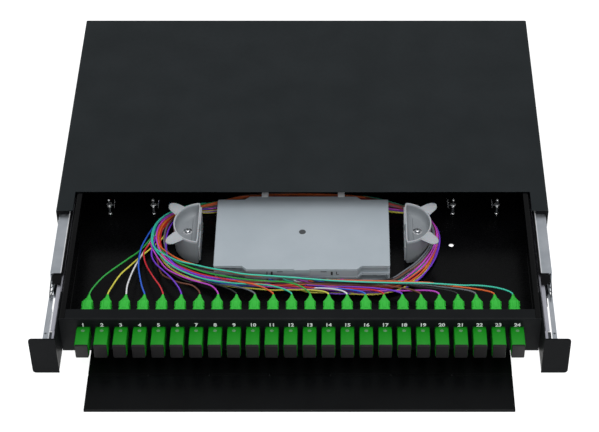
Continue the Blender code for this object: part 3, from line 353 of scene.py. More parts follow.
def placed(name, mesh, body, place=(0.0, 0.0, 0.0)):
    """A mesh as a piece of the box."""
    piece = bpy.data.objects.new(name, mesh)
    piece.location = place
    bpy.context.scene.collection.objects.link(piece)
    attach(piece, body)
    return piece


for side_name, side in SIDES:
    low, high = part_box("inner_ball_cage_" + side_name)
    cage_far = high.x if side > 0 else -low.x
    cage_body = "inner_cage_" + side_name
    top, base = high.z - BALL_RADIUS, low.z + BALL_RADIUS
    pitch = (high.y - LADDER_START) / BALLS_PER_CAGE
    half = CAGE_SHEET / 2
    work = bmesh.new()
    side_slab(work, side, CAGE_WEB, CAGE_WEB + CAGE_SHEET, LADDER_START, high.y, base, top)
    for z in (top, base):
        for rail in (LADDER_NEAR, cage_far - RAIL_WIDTH):
            side_slab(work, side, rail, rail + RAIL_WIDTH, LADDER_START, high.y, z - half,
                      z + half, CAGE_EDGE)
        for rung in range(BALLS_PER_CAGE + 1):
            y = min(LADDER_START + pitch * rung, high.y - RUNG_WIDTH)
            side_slab(work, side, LADDER_NEAR + RUNG_INSET, cage_far - RUNG_INSET, y,
                      y + RUNG_WIDTH, z - half + RUNG_THINNER, z + half - RUNG_THINNER, CAGE_EDGE)
    cage = made("ball_cage_" + side_name, work, zinc, cage_body)
    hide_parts("inner_ball_cage_" + side_name)
    work = bmesh.new()
    for z in (top, base):
        for ball in range(BALLS_PER_CAGE):
            centre = (side * BALL_LINE, LADDER_START + pitch * (ball + BALL_SHARE), z)
            bmesh.ops.create_icosphere(work, subdivisions=2, radius=BALL_RADIUS,
                                       matrix=Matrix.Translation(centre))
    made("cage_balls_" + side_name, work, bright_steel, cage_body,
         smooth=180.0)
    work = bmesh.new()
    for start, tip, root in ((PRONG_NEAR, PRONG_NEAR_TIP, PRONG_START),
                             (PRONG_FAR, PRONG_FAR_TIP, PRONG_ROOT)):
        wire(work, [(side * (start + (tip - start) * (at / 8) ** 2),
                     root + (PRONG_TIP - root) * at / 8, top) for at in range(9)], PRONG_RADIUS)
    for low_share, high_share in ((0.10, 0.35), (0.45, 0.65)):
        wire(work, [(side * (PRONG_NEAR + CROSS_REACH * at / 3),
                     PRONG_START + (PRONG_TIP - PRONG_START)
                     * (low_share + (high_share - low_share) * at / 3), top)
                    for at in range(4)], CROSS_RADIUS)
    made("cage_prongs_" + side_name, work, dark_steel_and_shade, cage_body)

# Slide heads, and painted shade and highlight along the slides
# Black plastic: a head on the front of each inner ball cage. A black strip along the middle
# channel's rolled edge, another on the drawer's side and a black frame in the outer mouth are
# painted shade in the slides' gaps and mouths. The rolled edge is a paler steel than the
# channel: a painted highlight over its real reflection.
black_plastic_and_shade = finish("black_plastic_and_shade", (0.0035, 0.0035, 0.0042),
                       (0.005, 0.005, 0.006), 2200.0, (0.34, 0.46), 0.25,
                       Specular_IOR_Level=0.06)
# A paler steel on the rolled edge than on the channel: painted highlight.
edge_highlight_steel = finish("edge_highlight_steel", (0.82, 0.83, 0.85), (0.90, 0.91, 0.92), 3000.0,
                    (0.25, 0.36), 0.1, streaks, Metallic=0.45)
HEAD_LENGTH = 0.0122
HEAD_NEAR = 0.2208
HEAD_FAR = 0.2290
HEAD_THICK = 0.0019
HEAD_CLEAR = 0.00005
SIDE_SHADE_NEAR = 0.21702
SIDE_SHADE_FAR = 0.21860
SIDE_SHADE_FRONT = -0.2510
SIDE_SHADE_BASE = 0.0005
SIDE_SHADE_TOP = 0.0016
GAP_SHADE_FAR = 0.2216
# Near side of the shade strip's lip and of its back, and how far under the channel's top they lie
GAP_SHADE_PARTS = ((0.2193, 0.0024, 0.0016), (GAP_SHADE_FAR - 0.0005, 0.0020, 0.0004))
ROLL_OUT = 0.0003
ROLL_DOWN = 0.00018
ROLL_RADIUS = 0.00055
MOUTH_DEEP = 0.0018
MOUTH_LIP = 0.0033
MOUTH_NEAR = 0.2324
MOUTH_FAR = 0.2333
for side_name, side in SIDES:
    low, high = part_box("inner_ball_cage_" + side_name)
    work = bmesh.new()
    for base, top in ((high.z - HEAD_THICK, high.z - HEAD_CLEAR),
                      (low.z + HEAD_CLEAR, low.z + HEAD_THICK)):
        side_slab(work, side, HEAD_NEAR, HEAD_FAR, LADDER_START - HEAD_LENGTH,
                  LADDER_START + 0.0004, base, top, 0.0003, 2)
    made("cage_head_" + side_name, work, black_plastic_and_shade,
         "inner_cage_" + side_name)
    low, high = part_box("slide_middle_" + side_name)
    front, rear = low.y + 0.0003, high.y - 0.0010
    # Black strips along the rolled edge: painted shade in the gap.
    work = bmesh.new()
    for near, foot, head in GAP_SHADE_PARTS:
        side_slab(work, side, near, GAP_SHADE_FAR, front, rear, high.z - foot, high.z - head, 0.0001)
    made("slide_gap_shade_" + side_name, work, black_plastic_and_shade,
         "middle_" + side_name)
    work = bmesh.new()
    wire(work, [(side * (GAP_SHADE_FAR + ROLL_OUT), front + (high.y - low.y - 0.001) * at / 6,
                 high.z - ROLL_DOWN) for at in range(7)], ROLL_RADIUS, 10)
    made("slide_rolled_edge_" + side_name, work, edge_highlight_steel, "middle_" + side_name)
    low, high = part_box("slide_inner_" + side_name)
    # A black strip on the drawer's side: painted shade in the gap by the inner channel.
    work = bmesh.new()
    side_slab(work, side, SIDE_SHADE_NEAR, SIDE_SHADE_FAR, SIDE_SHADE_FRONT, high.y, high.z + SIDE_SHADE_BASE,
              high.z + SIDE_SHADE_TOP, 0.0001)
    made("side_gap_shade_" + side_name, work, black_plastic_and_shade)
    low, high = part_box("slide_outer_" + side_name)
    # A black frame in the outer channel's mouth: painted shade.
    front = low.y - MOUTH_DEEP
    work = bmesh.new()
    for base, top in ((low.z, low.z + MOUTH_LIP), (high.z - MOUTH_LIP, high.z)):
        slab(work, (low.x, front, base), (high.x, low.y, top), 0.0002)
    side_slab(work, side, MOUTH_NEAR, MOUTH_FAR, front, low.y, low.z + MOUTH_LIP - 0.0004,
              high.z - MOUTH_LIP + 0.0004, 0.0001)
    made("slide_mouth_shade_" + side_name, work, black_plastic_and_shade, "housing")

# Drawer tray
# Folded from one steel sheet with a rear wall and turned-in top edges. Its inside has a
# smoother coat than the sleeve, so lamps and clamps show in it faintly, and its darker colour
# than the sleeve is painted shade of the walls round it.
drawer_coat_painted_shade = finish("drawer_coat_shaded_copy", (0.0011, 0.0012, 0.0014),
                    (0.0022, 0.0022, 0.0026), 1400.0, (0.22, 0.32), 0.2,
                    Specular_IOR_Level=0.11)
# The front panel, the ears and the flap have the sleeve's coat, here in darker copies as painted
# shade: the panel a little darker, the ears more and the flap, in the shade of the ports,
# darkest.
panel_coat_painted_shade = finish("front_coat_shaded_copy", (0.0044, 0.0051, 0.0060),
                    (0.0064, 0.0072, 0.0082), 1400.0, (0.40, 0.52), 0.35,
                    Specular_IOR_Level=0.09)
ear_coat_painted_shade = finish("ear_coat_shaded_copy", (0.0026, 0.0032, 0.0040),
                  (0.0040, 0.0047, 0.0056), 1400.0, (0.40, 0.52), 0.35,
                  Specular_IOR_Level=0.07)
flap_coat_painted_shade = finish("flap_coat_shaded_copy", (0.0011, 0.0013, 0.0016),
                   (0.0020, 0.0024, 0.0028), 1400.0, (0.28, 0.36), 0.25,
                   Specular_IOR_Level=0.115)
dress(["drawer_tray"], drawer_coat_painted_shade)
dress(["front_panel"], panel_coat_painted_shade)
dress(["ear_left", "ear_right"], ear_coat_painted_shade)
dress(["flap", "hinge_pin"], flap_coat_painted_shade)
round_edges(["flap", "ear_left", "ear_right"], 0.00025)

# Painted shade on the shelf and the hinge
# A thin black sheet on the shelf under the ports is painted shade of the ports above it. A strip
# of the flap's coat under the shelf's front edge closes the gap along the hinge as painted shade,
# and thin black strips on its seven knuckles are painted shade over their highlights.
hinge_low, hinge_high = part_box("hinge_pin")
shelf_painted_shade = finish("shelf_painted_shade", (0.0008, 0.0009, 0.0010),
                     (0.0014, 0.0016, 0.0018), 1400.0, (0.30, 0.40), 0.2,
                     Specular_IOR_Level=0.10)
SHADE_SHEET_FRONT = -0.3178
SHADE_SHEET_REAR = -0.2888
SHADE_SHEET_BASE = 0.00238
SHADE_SHEET_TOP = 0.00244
SHADE_SHEET_INSET = 0.0002
STRIP_FRONT = -0.31805
STRIP_REAR = -0.3135
STRIP_BASE = 0.0002
STRIP_TOP = 0.0015
work = bmesh.new()
slab(work, (hinge_low.x + SHADE_SHEET_INSET, SHADE_SHEET_FRONT, SHADE_SHEET_BASE),
     (hinge_high.x - SHADE_SHEET_INSET, SHADE_SHEET_REAR, SHADE_SHEET_TOP))
made("shelf_shade_sheet", work, shelf_painted_shade)
work = bmesh.new()
slab(work, (hinge_low.x, STRIP_FRONT, STRIP_BASE), (hinge_high.x, STRIP_REAR, STRIP_TOP))
made("hinge_gap_shade_strip", work, flap_coat_painted_shade)
# Black strips on the knuckles: painted shade.
KNUCKLES = 7
KNUCKLE_GAP = 0.0009
COVER_BASE = 0.00241
COVER_TOP = 0.00245
FLAP_COVER_FRONT = -0.3210
FLAP_COVER_REAR = -0.3190
FLAP_ROOT = -0.32055
SHELF_COVER_FRONT = -0.32015
SHELF_COVER_REAR = -0.31825
knuckle_pitch = (hinge_high.x - hinge_low.x) / KNUCKLES
shelf_covers = bmesh.new()
flap_covers = bmesh.new()
for at in range(KNUCKLES):
    near = hinge_low.x + knuckle_pitch * at + KNUCKLE_GAP / 2
    far = near + knuckle_pitch - KNUCKLE_GAP
    on_flap = at % 2 == 1
    slab(flap_covers, (near, FLAP_COVER_FRONT, COVER_BASE),
         (far, FLAP_COVER_REAR if on_flap else FLAP_ROOT, COVER_TOP))
    if not on_flap:
        slab(shelf_covers, (near, SHELF_COVER_FRONT, COVER_BASE),
             (far, SHELF_COVER_REAR, COVER_TOP))
made("shelf_knuckle_shade", shelf_covers, shelf_painted_shade)
made("flap_knuckle_shade", flap_covers, shelf_painted_shade, "flap")

# Ear arms, tabs and screws
# A zinc plate runs back from each ear beside the inner channel, with a pressed dimple on its
# edge and a small screw outside. A short tab ties it to the drawer's slide, and the slide's own
# narrowed end reaches the ear. The dimple and the tab are dark steel: painted shade.
dress(["ear_arm_left", "ear_arm_right"], zinc)
DIMPLE_BACK = 0.0150
DIMPLE_IN = 0.0024
DIMPLE_RADIUS = 0.0011
SCREW_BACK = 0.0170
SCREW_DOWN = 0.0060
TAB_NEAR = 0.2226
TAB_FAR = 0.2263
TAB_FRONT = -0.2968
TAB_REAR = -0.2892
TAB_BASE = 0.0258
END_NEAR = 0.2192
END_FAR = 0.2222
END_SHEET = 0.0010
END_FRONT = -0.3124
END_LAP = 0.0006
for side_name, side in SIDES:
    low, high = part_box("ear_arm_" + side_name)
    web = high.x if side > 0 else low.x
    # The dimple in dark steel: painted shade of the pressed dent.
    work = bmesh.new()
    lathe(work, [(0.0003, 0.0002), (DIMPLE_RADIUS * 0.8, 0.00018), (DIMPLE_RADIUS, 0.0),
                 (DIMPLE_RADIUS, -0.0004)],
          (web - side * DIMPLE_IN, low.y + DIMPLE_BACK, high.z), 16)
    made("arm_dimple_shade_" + side_name, work, dark_steel_and_shade)
    work = bmesh.new()
    lathe(work, [(0.0002, 0.00005), (0.0014, 0.00005), (0.0016, 0.0), (0.0016, -0.0004)],
          (0.0, 0.0, 0.0), 16)
    bmesh.ops.rotate(work, verts=work.verts, cent=(0.0, 0.0, 0.0),
                     matrix=Matrix.Rotation(side * math.pi / 2, 3, "Y"))
    bmesh.ops.translate(work, verts=work.verts,
                        vec=(web, low.y + SCREW_BACK, high.z - SCREW_DOWN))
    made("arm_screw_" + side_name, work, dark_steel_and_shade)
    # The tab in dark steel: painted shade.
    work = bmesh.new()
    side_slab(work, side, TAB_NEAR, TAB_FAR, TAB_FRONT, TAB_REAR, TAB_BASE,
              TAB_BASE + END_SHEET, 0.0002)
    made("arm_tab_shade_" + side_name, work, dark_steel_and_shade)
    low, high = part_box("slide_inner_" + side_name)
    rear = low.y + END_LAP
    work = bmesh.new()
    for base in (low.z + 0.0002, high.z - 0.0012):
        side_slab(work, side, END_NEAR, END_FAR, END_FRONT, rear, base, base + END_SHEET, 0.0002)
    side_slab(work, side, END_NEAR, END_NEAR + END_SHEET, END_FRONT, rear, low.z + 0.0004,
              high.z - 0.0004)
    made("slide_end_" + side_name, work, inner_zinc)

# Port numbers
# White numbers are printed on the front panel over the ports, in a plain bold type.
number_ink = finish("white_print", (0.78, 0.79, 0.80), (0.86, 0.87, 0.88),
                    1400.0, (0.5, 0.6), 0.1)
PORT_PITCH = 0.0170
PANEL_FACE = -0.28845
NUMBER_HEIGHT = 0.0042
NUMBER_MIDDLE = 0.0350
INK_DEPTH = 0.00006
INK_SPREAD = 0.00020
FONT_SCALE = 1.38
port_places = [(port - 11.5) * PORT_PITCH for port in range(24)]
work = bmesh.new()
for port, x in enumerate(port_places):
    letters = bpy.data.curves.new("number", "FONT")
    letters.body = str(port + 1)
    letters.size = NUMBER_HEIGHT * FONT_SCALE
    letters.align_x = "CENTER"
    letters.align_y = "CENTER"
    letters.offset = INK_SPREAD
    letters.extrude = INK_DEPTH
    letters.resolution_u = 3
    holder = bpy.data.objects.new("number", letters)
    bpy.context.scene.collection.objects.link(holder)
    holder.matrix_world = (Matrix.Translation((x, PANEL_FACE, NUMBER_MIDDLE))
                           @ Matrix.Rotation(math.pi / 2, 4, "X"))
    bpy.context.view_layer.update()
    printed = holder.evaluated_get(bpy.context.evaluated_depsgraph_get()).to_mesh()
    printed.transform(holder.matrix_world)
    work.from_mesh(printed)
    bpy.data.objects.remove(holder, do_unlink=True)
made("port_numbers", work, number_ink)

# Adapters, dust caps and connectors
# Each port has a moulded green adapter with a dark cap in front. Behind the panel a brighter
# green connector is plugged in, waisted towards its ribbed boot. All are glossy plastic.
adapter_green = finish("adapter_green", (0.007, 0.225, 0.010),
                       (0.010, 0.250, 0.013), 2600.0, (0.34, 0.44), 0.2,
                       Specular_IOR_Level=0.15)
connector_green = finish("connector_green", (0.030, 0.50, 0.042),
                         (0.040, 0.56, 0.052), 2600.0, (0.30, 0.42), 0.2,
                         Specular_IOR_Level=0.3)
# The small raised mark on each adapter's top is a paler, greyer green than the adapter: painted
# highlight.
mark_green_painted_highlight = finish("mark_green_painted_highlight", (0.10, 0.25, 0.11), (0.13, 0.30, 0.14),
                    2600.0, (0.3, 0.4), 0.2, Specular_IOR_Level=0.3)
cap_black = finish("cap_black", (0.008, 0.0078, 0.0082), (0.014, 0.0135, 0.014),
                   2400.0, (0.42, 0.55), 0.3, Specular_IOR_Level=0.25)
ADAPTER_WIDTH = 0.0122
ADAPTER_HEIGHT = 0.0160
ADAPTER_MIDDLE = 0.0245
ADAPTER_OUT = 0.0212
ADAPTER_BEHIND = 0.0090
FLANGE_WIDTH = 0.0152
FLANGE_HEIGHT = 0.0204


def rounded(width, height, radius, y, steps=3):
    """A ring in the XZ plane: an upright rectangle with round corners, at a place along Y."""
    points = []
    for corner in range(4):
        turn = corner * math.pi / 2
        x = (width / 2 - radius) * (1 if corner in (0, 3) else -1)
        z = (height / 2 - radius) * (1 if corner in (0, 1) else -1)
        for step in range(steps + 1):
            angle = turn + math.pi / 2 * step / steps
            points.append((x + radius * math.cos(angle), y, z + radius * math.sin(angle)))
    return points


adapter_rings = [(-ADAPTER_OUT, 0.4, 0.4), (-ADAPTER_OUT + 0.0004, 0.0, 0.0),
                 (-0.0022, 0.0, 0.0), (-0.0009, 0.5, 0.2), (-0.0002, 1.7, 0.7),
                 (0.0002, 1.7, 0.7), (0.0012, 0.0, 0.0), (ADAPTER_BEHIND - 0.0004, 0.0, 0.0),
                 (ADAPTER_BEHIND, 0.6, 0.6)]
work = bmesh.new()
loft(work, [rounded(ADAPTER_WIDTH - less_wide * MM, ADAPTER_HEIGHT - less_high * MM, 0.0009, y)
            for y, less_wide, less_high in adapter_rings])
loft(work, [rounded(FLANGE_WIDTH - inset, FLANGE_HEIGHT - inset, 0.0010, y)
            for y, inset in ((0.0013, 0.0004), (0.0015, 0.0), (0.0031, 0.0), (0.0033, 0.0004))])
adapter_piece = made("adapter_body_01", work, adapter_green)

work = bmesh.new()
loft(work, [rounded(width, height, 0.0009, y) for y, width, height in (
    (-0.0232, 0.0110, 0.0148), (-0.0229, 0.0116, 0.0154), (-0.0213, 0.0116, 0.0154),
    (-0.0209, 0.0112, 0.0150))])
cap_piece = made("dust_cap_01", work, cap_black)

work = bmesh.new()
lathe(work, [(0.0008, 0.0001), (0.0010, 0.0003), (0.0016, 0.0003), (0.0018, 0.0001),
             (0.0018, -0.0003)], (0.0, 0.0, 0.0), 20)
bmesh.ops.scale(work, verts=work.verts, vec=(1.0, 0.8, 1.0))
mark_piece = made("adapter_mark_01", work, mark_green_painted_highlight)

work = bmesh.new()
loft(work, [rounded(width * MM, height * MM, min(width, height) * 0.22 * MM, y * MM, 4)
            for y, width, height in (
    (8.6, 10.0, 9.8), (8.9, 10.6, 10.4), (12.0, 10.6, 10.4), (12.4, 10.2, 10.2),
    (24.6, 10.0, 10.2), (24.8, 10.6, 10.6), (27.2, 10.6, 10.6), (27.5, 9.9, 10.0),
    (34.0, 9.9, 9.6), (36.4, 9.7, 9.0), (37.6, 9.2, 8.3), (38.6, 8.2, 7.4),
    (39.4, 7.4, 6.8), (40.2, 6.7, 6.3), (41.0, 6.1, 5.9), (41.3, 5.8, 5.7))])
loft(work, [rounded(width * MM, height * MM, 0.0008, y * MM) for y, width, height in (
    (27.4, 4.2, 10.9), (33.0, 4.6, 10.7), (36.0, 4.8, 9.9), (38.4, 4.8, 8.2), (41.0, 4.4, 5.4))])
for side in (-1, 1):
    for y in (29.5, 31.1, 32.7, 34.3):
        slab(work, (side * 0.0044 - 0.0007, y * MM, -0.0051),
             (side * 0.0044 + 0.0007, (y + 0.8) * MM, 0.0051), 0.0002)
for rib in range(5):
    slab(work, (-0.0038, (14.0 + rib * 1.6) * MM, -0.0054),
         (0.0038, (14.7 + rib * 1.6) * MM, 0.0054), 0.00015)
connector_piece = made("connector_01", work, connector_green)

work = bmesh.new()
boot_rings = [(40.8, 2.6)]
for ring in range(5):
    start, radius = 41.3 + ring * 1.32, 2.90 - 0.39 * ring
    boot_rings += [(start, radius), (start + 0.85, radius - 0.12), (start + 0.95, radius - 0.34),
                   (start + 1.35, radius - 0.38)]
boot_rings += [(48.0, 1.05), (48.2, 0.95)]
loft(work, [[(radius * MM * math.cos(2 * math.pi * at / 16), y * MM,
              radius * MM * math.sin(2 * math.pi * at / 16)) for at in range(16)]
            for y, radius in boot_rings])
boot_piece = made("boot_01", work, connector_green)

MARK_BACK = 0.0046
for port, x in enumerate(port_places):
    number = "%02d" % (port + 1)
    at = Vector((x, PANEL_FACE, ADAPTER_MIDDLE))
    mark_at = at + Vector((0.0, -MARK_BACK, ADAPTER_HEIGHT / 2))
    parts = ((adapter_piece, "adapter_body_", at, "green_plastic"),
             (cap_piece, "dust_cap_", at, "charcoal_paint"),
             (mark_piece, "adapter_mark_", mark_at, "green_plastic"),
             (connector_piece, "connector_", at, "green_plastic"),
             (boot_piece, "boot_", at, "green_plastic"))
    for first, name, place, slot in parts:
        if port == 0:
            first.location = place
            bpy.context.view_layer.update()
        else:
            placed(name + number, first.data, "drawer", place)
    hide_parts("adapter_" + number)

# Fibres
# From every boot a coloured tight-buffered fibre runs back and to the left, round the left
# spool, behind the splice trays, round the right spool and into the front of the lower
# tray. The twelve colours come twice. They lie loose, so each is a cord of its own.
FIBRE_RADIUS = 0.0008
FLOOR_TOP = 0.0024
BOOT_TIP = -0.24025
JACKETS = (("green", (0.030, 0.40, 0.060)), ("yellow", (0.72, 0.66, 0.080)),
           ("white", (0.80, 0.80, 0.82)), ("blue", (0.030, 0.13, 0.70)),
           ("red", (0.66, 0.025, 0.035)), ("violet", (0.19, 0.045, 0.66)),
           ("brown", (0.16, 0.055, 0.030)), ("magenta", (0.58, 0.070, 0.60)),
           ("black", (0.012, 0.013, 0.015)), ("grey", (0.15, 0.165, 0.19)),
           ("orange", (0.76, 0.13, 0.025)), ("aqua", (0.050, 0.60, 0.42)))
# Where the bundle runs, in mm, one lap from the front round by the left: its inner and upper
# edge, then its outer and lower edge
LAP = (((150, -218.5, 15), (150, -226, 7)), ((118, -215.5, 15.5), (118, -225, 4)),
       ((88, -213.5, 15), (88, -223, 3.2)), ((58, -211.8, 14.5), (58, -221.5, 3.2)),
       ((28, -210.5, 15), (28, -220.2, 3.2)), ((0, -208.8, 16), (0, -218.7, 3.2)),
       ((-28, -207.8, 18.3), (-28, -217, 3.2)), ((-52, -207, 20.5), (-52, -214.8, 3.2)),
       ((-70, -203.8, 21), (-73, -212.8, 3.2)), ((-86, -199.2, 19.2), (-91, -209, 3.2)),
       ((-100, -191.5, 15.5), (-108, -202.5, 3.2)), ((-113, -182.5, 12.5), (-124, -192.5, 3.2)),
       ((-121, -172.5, 10.5), (-137.5, -178.5, 3.2)), ((-125.5, -160, 9.5), (-146.5, -163, 3.2)),
       ((-127, -147, 9), (-149, -147, 3.2)), ((-124.5, -132.5, 9.5), (-145.5, -130, 3.2)),
       ((-116.5, -120, 11), (-134.5, -116.5, 3.2)), ((-103, -112, 13.5), (-118, -106.5, 3.2)),
       ((-84, -106.5, 16.5), (-95, -108.5, 3.2)), ((-62, -101.5, 18.2), (-66, -103.5, 3.2)),
       ((-36, -98.6, 18.6), (-36, -103, 3.2)), ((0, -97.8, 18.8), (0, -103, 3.2)),
       ((36, -98.6, 18.6), (36, -103, 3.2)), ((62, -101.5, 18.2), (66, -103.5, 3.2)),
       ((84, -106.5, 16.5), (92, -108.5, 3.2)), ((101, -112.5, 14.5), (110, -111.5, 3.2)),
       ((113, -121.5, 13), (119, -120.5, 3.2)), ((120.5, -134, 12.5), (126.5, -133.5, 3.2)),
       ((122.8, -148, 12), (128.5, -148, 3.2)), ((120, -161, 11), (127.2, -163, 3.2)),
       ((114.5, -173.5, 9.5), (123.5, -177.5, 3.2)), ((106, -185.5, 8.5), (117, -191.5, 3.2)),
       ((94.5, -196.5, 8.5), (108, -204, 3.2)), ((84, -204.8, 8.5), (95, -214.5, 3.2)),
       ((64, -208, 8.5), (73, -221, 3.2)), ((44, -208.2, 8.5), (48, -221, 3.2)),
       ((24, -208.2, 8.5), (24, -219.4, 3.2)), ((4, -208.2, 8.5), (4, -218.2, 3.2)),
       ((-16, -208.2, 8.5), (-16, -217, 3.2)))
FRONT_END, LEFT_END, REAR_END, RIGHT_END = 12, 17, 25, 33
BUNDLE_DEPTH = 4.5
# Where each colour lies in the bundle in front, on the left, behind, on the right and at the
# end of the lap, from its inner edge, 0, to its outer edge, 1, then how far up out of it
COLOUR_PLACES = {"green": ((0.18, 0.50, 0.24, 0.50, 0.30), (0.7, 0.3, 1.0, 0.0, 0.2)),
                 "yellow": ((1.00, 0.44, 1.00, 0.84, 0.98), (0.3, 0.0, 0.1, 0.5, 0.3)),
                 "white": ((0.80, 0.62, 0.55, 0.30, 0.20), (0.1, 0.1, 1.0, 0.0, 0.2)),
                 "blue": ((0.70, 0.86, 0.80, 0.60, 0.36), (0.4, 0.5, 0.8, 0.0, 0.3)),
                 "red": ((0.58, 0.30, 0.13, 0.70, 0.60), (0.6, 0.4, 0.2, 0.4, 0.4)),
                 "violet": ((0.38, 0.06, 0.80, 1.00, 0.92), (0.6, 0.6, 0.0, 0.8, 0.6)),
                 "brown": ((0.28, 0.22, 0.06, 0.12, 0.12), (0.3, 0.5, 0.3, 0.4, 0.4)),
                 "magenta": ((0.50, 0.62, 0.66, 0.52, 0.34), (0.7, 0.9, 0.0, 0.9, 0.8)),
                 "black": ((0.90, 0.36, 0.46, 0.06, 0.05), (0.3, 0.2, 0.1, 0.5, 0.4)),
                 "grey": ((0.84, 0.26, 0.34, 0.00, 0.02), (0.4, 0.2, 0.1, 0.6, 0.4)),
                 "orange": ((0.08, 0.44, 0.00, 0.76, 0.42), (0.4, 0.9, 0.0, 1.0, 1.0)),
                 "aqua": ((0.00, 0.80, 0.18, 0.40, 0.20), (1.05, 1.45, 1.0, 0.0, 0.1))}
# The first eight fibres reach the left spool by routes of their own, in mm
LEADS = {1: ((-193.1, -229.7, 23), (-185.8, -211.6, 19), (-175.3, -193.4, 14),
             (-164.4, -176.5, 9.5), (-154.6, -161, 6)),
         2: ((-176.7, -230.7, 23), (-170.5, -208.4, 18), (-162.9, -191.2, 13),
             (-155.5, -175.1, 8)),
         3: ((-161.8, -225.5, 22), (-159.5, -202.1, 16), (-155.3, -179.1, 10),
             (-151, -163.1, 7)),
         4: ((-148.6, -225.5, 22), (-153.0, -203.1, 17), (-154.8, -188.9, 14),
             (-155.1, -172.3, 11), (-153.4, -157.1, 9)),
         5: ((-131.4, -227.2, 22.5), (-139.0, -211.6, 19), (-147.1, -191.1, 13),
             (-150.7, -177.0, 10), (-150.6, -163.5, 8)),
         6: ((-114.3, -228.2, 22.5), (-121.6, -213.8, 19), (-130.8, -198.8, 14.5),
             (-139.8, -184.7, 11), (-144.4, -169.2, 9)),
         7: ((-95.4, -233.4, 23.5), (-102.2, -224.5, 21), (-113.7, -217.8, 17.5),
             (-123.8, -209.3, 14), (-133.6, -196.8, 10.5)),
         8: ((-79.3, -232.4, 23.5), (-85.1, -224.5, 21), (-96.6, -217.2, 18),
             (-106.4, -210.8, 15.5), (-119.2, -200.6, 12), (-130.6, -189.1, 10))}
LEAD_JOINS = {1: 15, 2: 14, 3: 15, 4: 15, 5: 15, 6: 14, 7: 13, 8: 13}
LEFT_PLACES = {1: 0.55, 2: 0.45, 3: 0.60, 4: 0.90, 5: 0.50, 6: 0.66, 7: 0.74, 8: 0.80, 9: 1.0}
# These fibres lie elsewhere in front than the other one of their colour
FRONT_PLACES = {9: 0.97, 10: 0.92, 11: 0.62, 12: 0.5, 14: 0.84, 21: 0.10, 22: 0.14,
                23: 0.04, 24: 0.0}
# How much lower these run in than the others, in mm. The first three pass under the last
LEAD_DIPS = {21: 5.0, 22: 5.0, 23: 6.5, 24: -0.5}
COLOUR_SPREAD = 0.09
# How much a fibre wanders across the bundle and up out of it
WANDER_ACROSS = 0.07
WANDER_UP = 0.25
# How far to the left a fibre joins the bundle, and how it leaves its boot and comes in, in mm
JOIN_REACH = 36.0
BOOT_BEND = Vector((-4.0, 6.0, 0.2))
JOIN_RUN = 24.0
JOIN_OUT = -2.0
JOIN_RISE = 2.5
# Where the fibres enter the lower tray, in mm: the rightmost one, their pitch and their rows
ENTRY_RIGHT = 40.0
ENTRY_PITCH = 3.4
ENTRY_BASE = 5.2
ENTRY_ROW = 1.6
# The last stretch, in mm: to the right of the entry, and the place from front to rear
ENTRY_STEPS = ((7.0, -208.6), (1.5, -206.6), (-1.0, -203.6))
LEAVE_REACH = 18.0
ROUTE_STEP = 0.0032


def through(points, spacing):
    """A smooth line through points, with its own points evenly spaced."""
    fine = []
    for at in range(len(points) - 1):
        before = points[max(at - 1, 0)]
        start, end = points[at], points[at + 1]
        after = points[min(at + 2, len(points) - 1)]
        for step in range(12):
            t = step / 12
            fine.append(0.5 * ((2 * start) + (end - before) * t
                               + (2 * before - 5 * start + 4 * end - after) * t ** 2
                               + (3 * start - before - 3 * end + after) * t ** 3))
    fine.append(points[-1])
    line, carried = [fine[0]], 0.0
    for start, end in zip(fine, fine[1:]):
        reach = (end - start).length
        while carried + reach >= spacing:
            share = (spacing - carried) / reach
            start = start.lerp(end, share)
            reach = (end - start).length
            carried = 0.0
            line.append(start)
        carried += reach
    if (line[-1] - points[-1]).length > spacing / 3:
        line.append(points[-1])
    else:
        line[-1] = points[-1]
    return line


def zone_share(station, shares):
    """A fibre's place in the bundle at a station, turning slowly from zone to zone."""
    marks = (0, FRONT_END, LEFT_END, REAR_END, RIGHT_END, len(LAP))
    for zone, (start, end) in enumerate(zip(marks, marks[1:])):
        if station < end:
            break
    middle = (start + end) / 2
    other = zone + (1 if station >= middle else -1)
    other = min(max(other, 0), len(shares) - 1)
    turn = 8 * min(abs(station - middle) / (end - start), 0.5) ** 4
    return shares[zone] * (1 - turn) + shares[other] * turn


def bundle_place(station, across, deep):
    """A point of the bundle, in mm, by its share across the band and up out of it."""
    inner, outer = (Vector(edge) for edge in LAP[station])
    before = Vector(LAP[max(station - 1, 0)][0]) + Vector(LAP[max(station - 1, 0)][1])
    last = min(station + 1, len(LAP) - 1)
    after = Vector(LAP[last][0]) + Vector(LAP[last][1])
    out = (after - before).normalized().cross((outer - inner).normalized())
    place = inner.lerp(outer, across) + out * BUNDLE_DEPTH * deep
    place.z = max(place.z, FLOOR_TOP / MM + 0.85)
    return place


def wandering(port, station, shares, depths):
    """A fibre's point of the bundle at a station, a little off its even course."""
    across = zone_share(station, shares) + WANDER_ACROSS * math.sin(station * 0.62 + port * 1.9)
    deep = zone_share(station, depths) + WANDER_UP * math.sin(station * 0.5 + port * 2.7)
    return bundle_place(station, min(max(across, 0.0), 1.0), max(deep, 0.0))


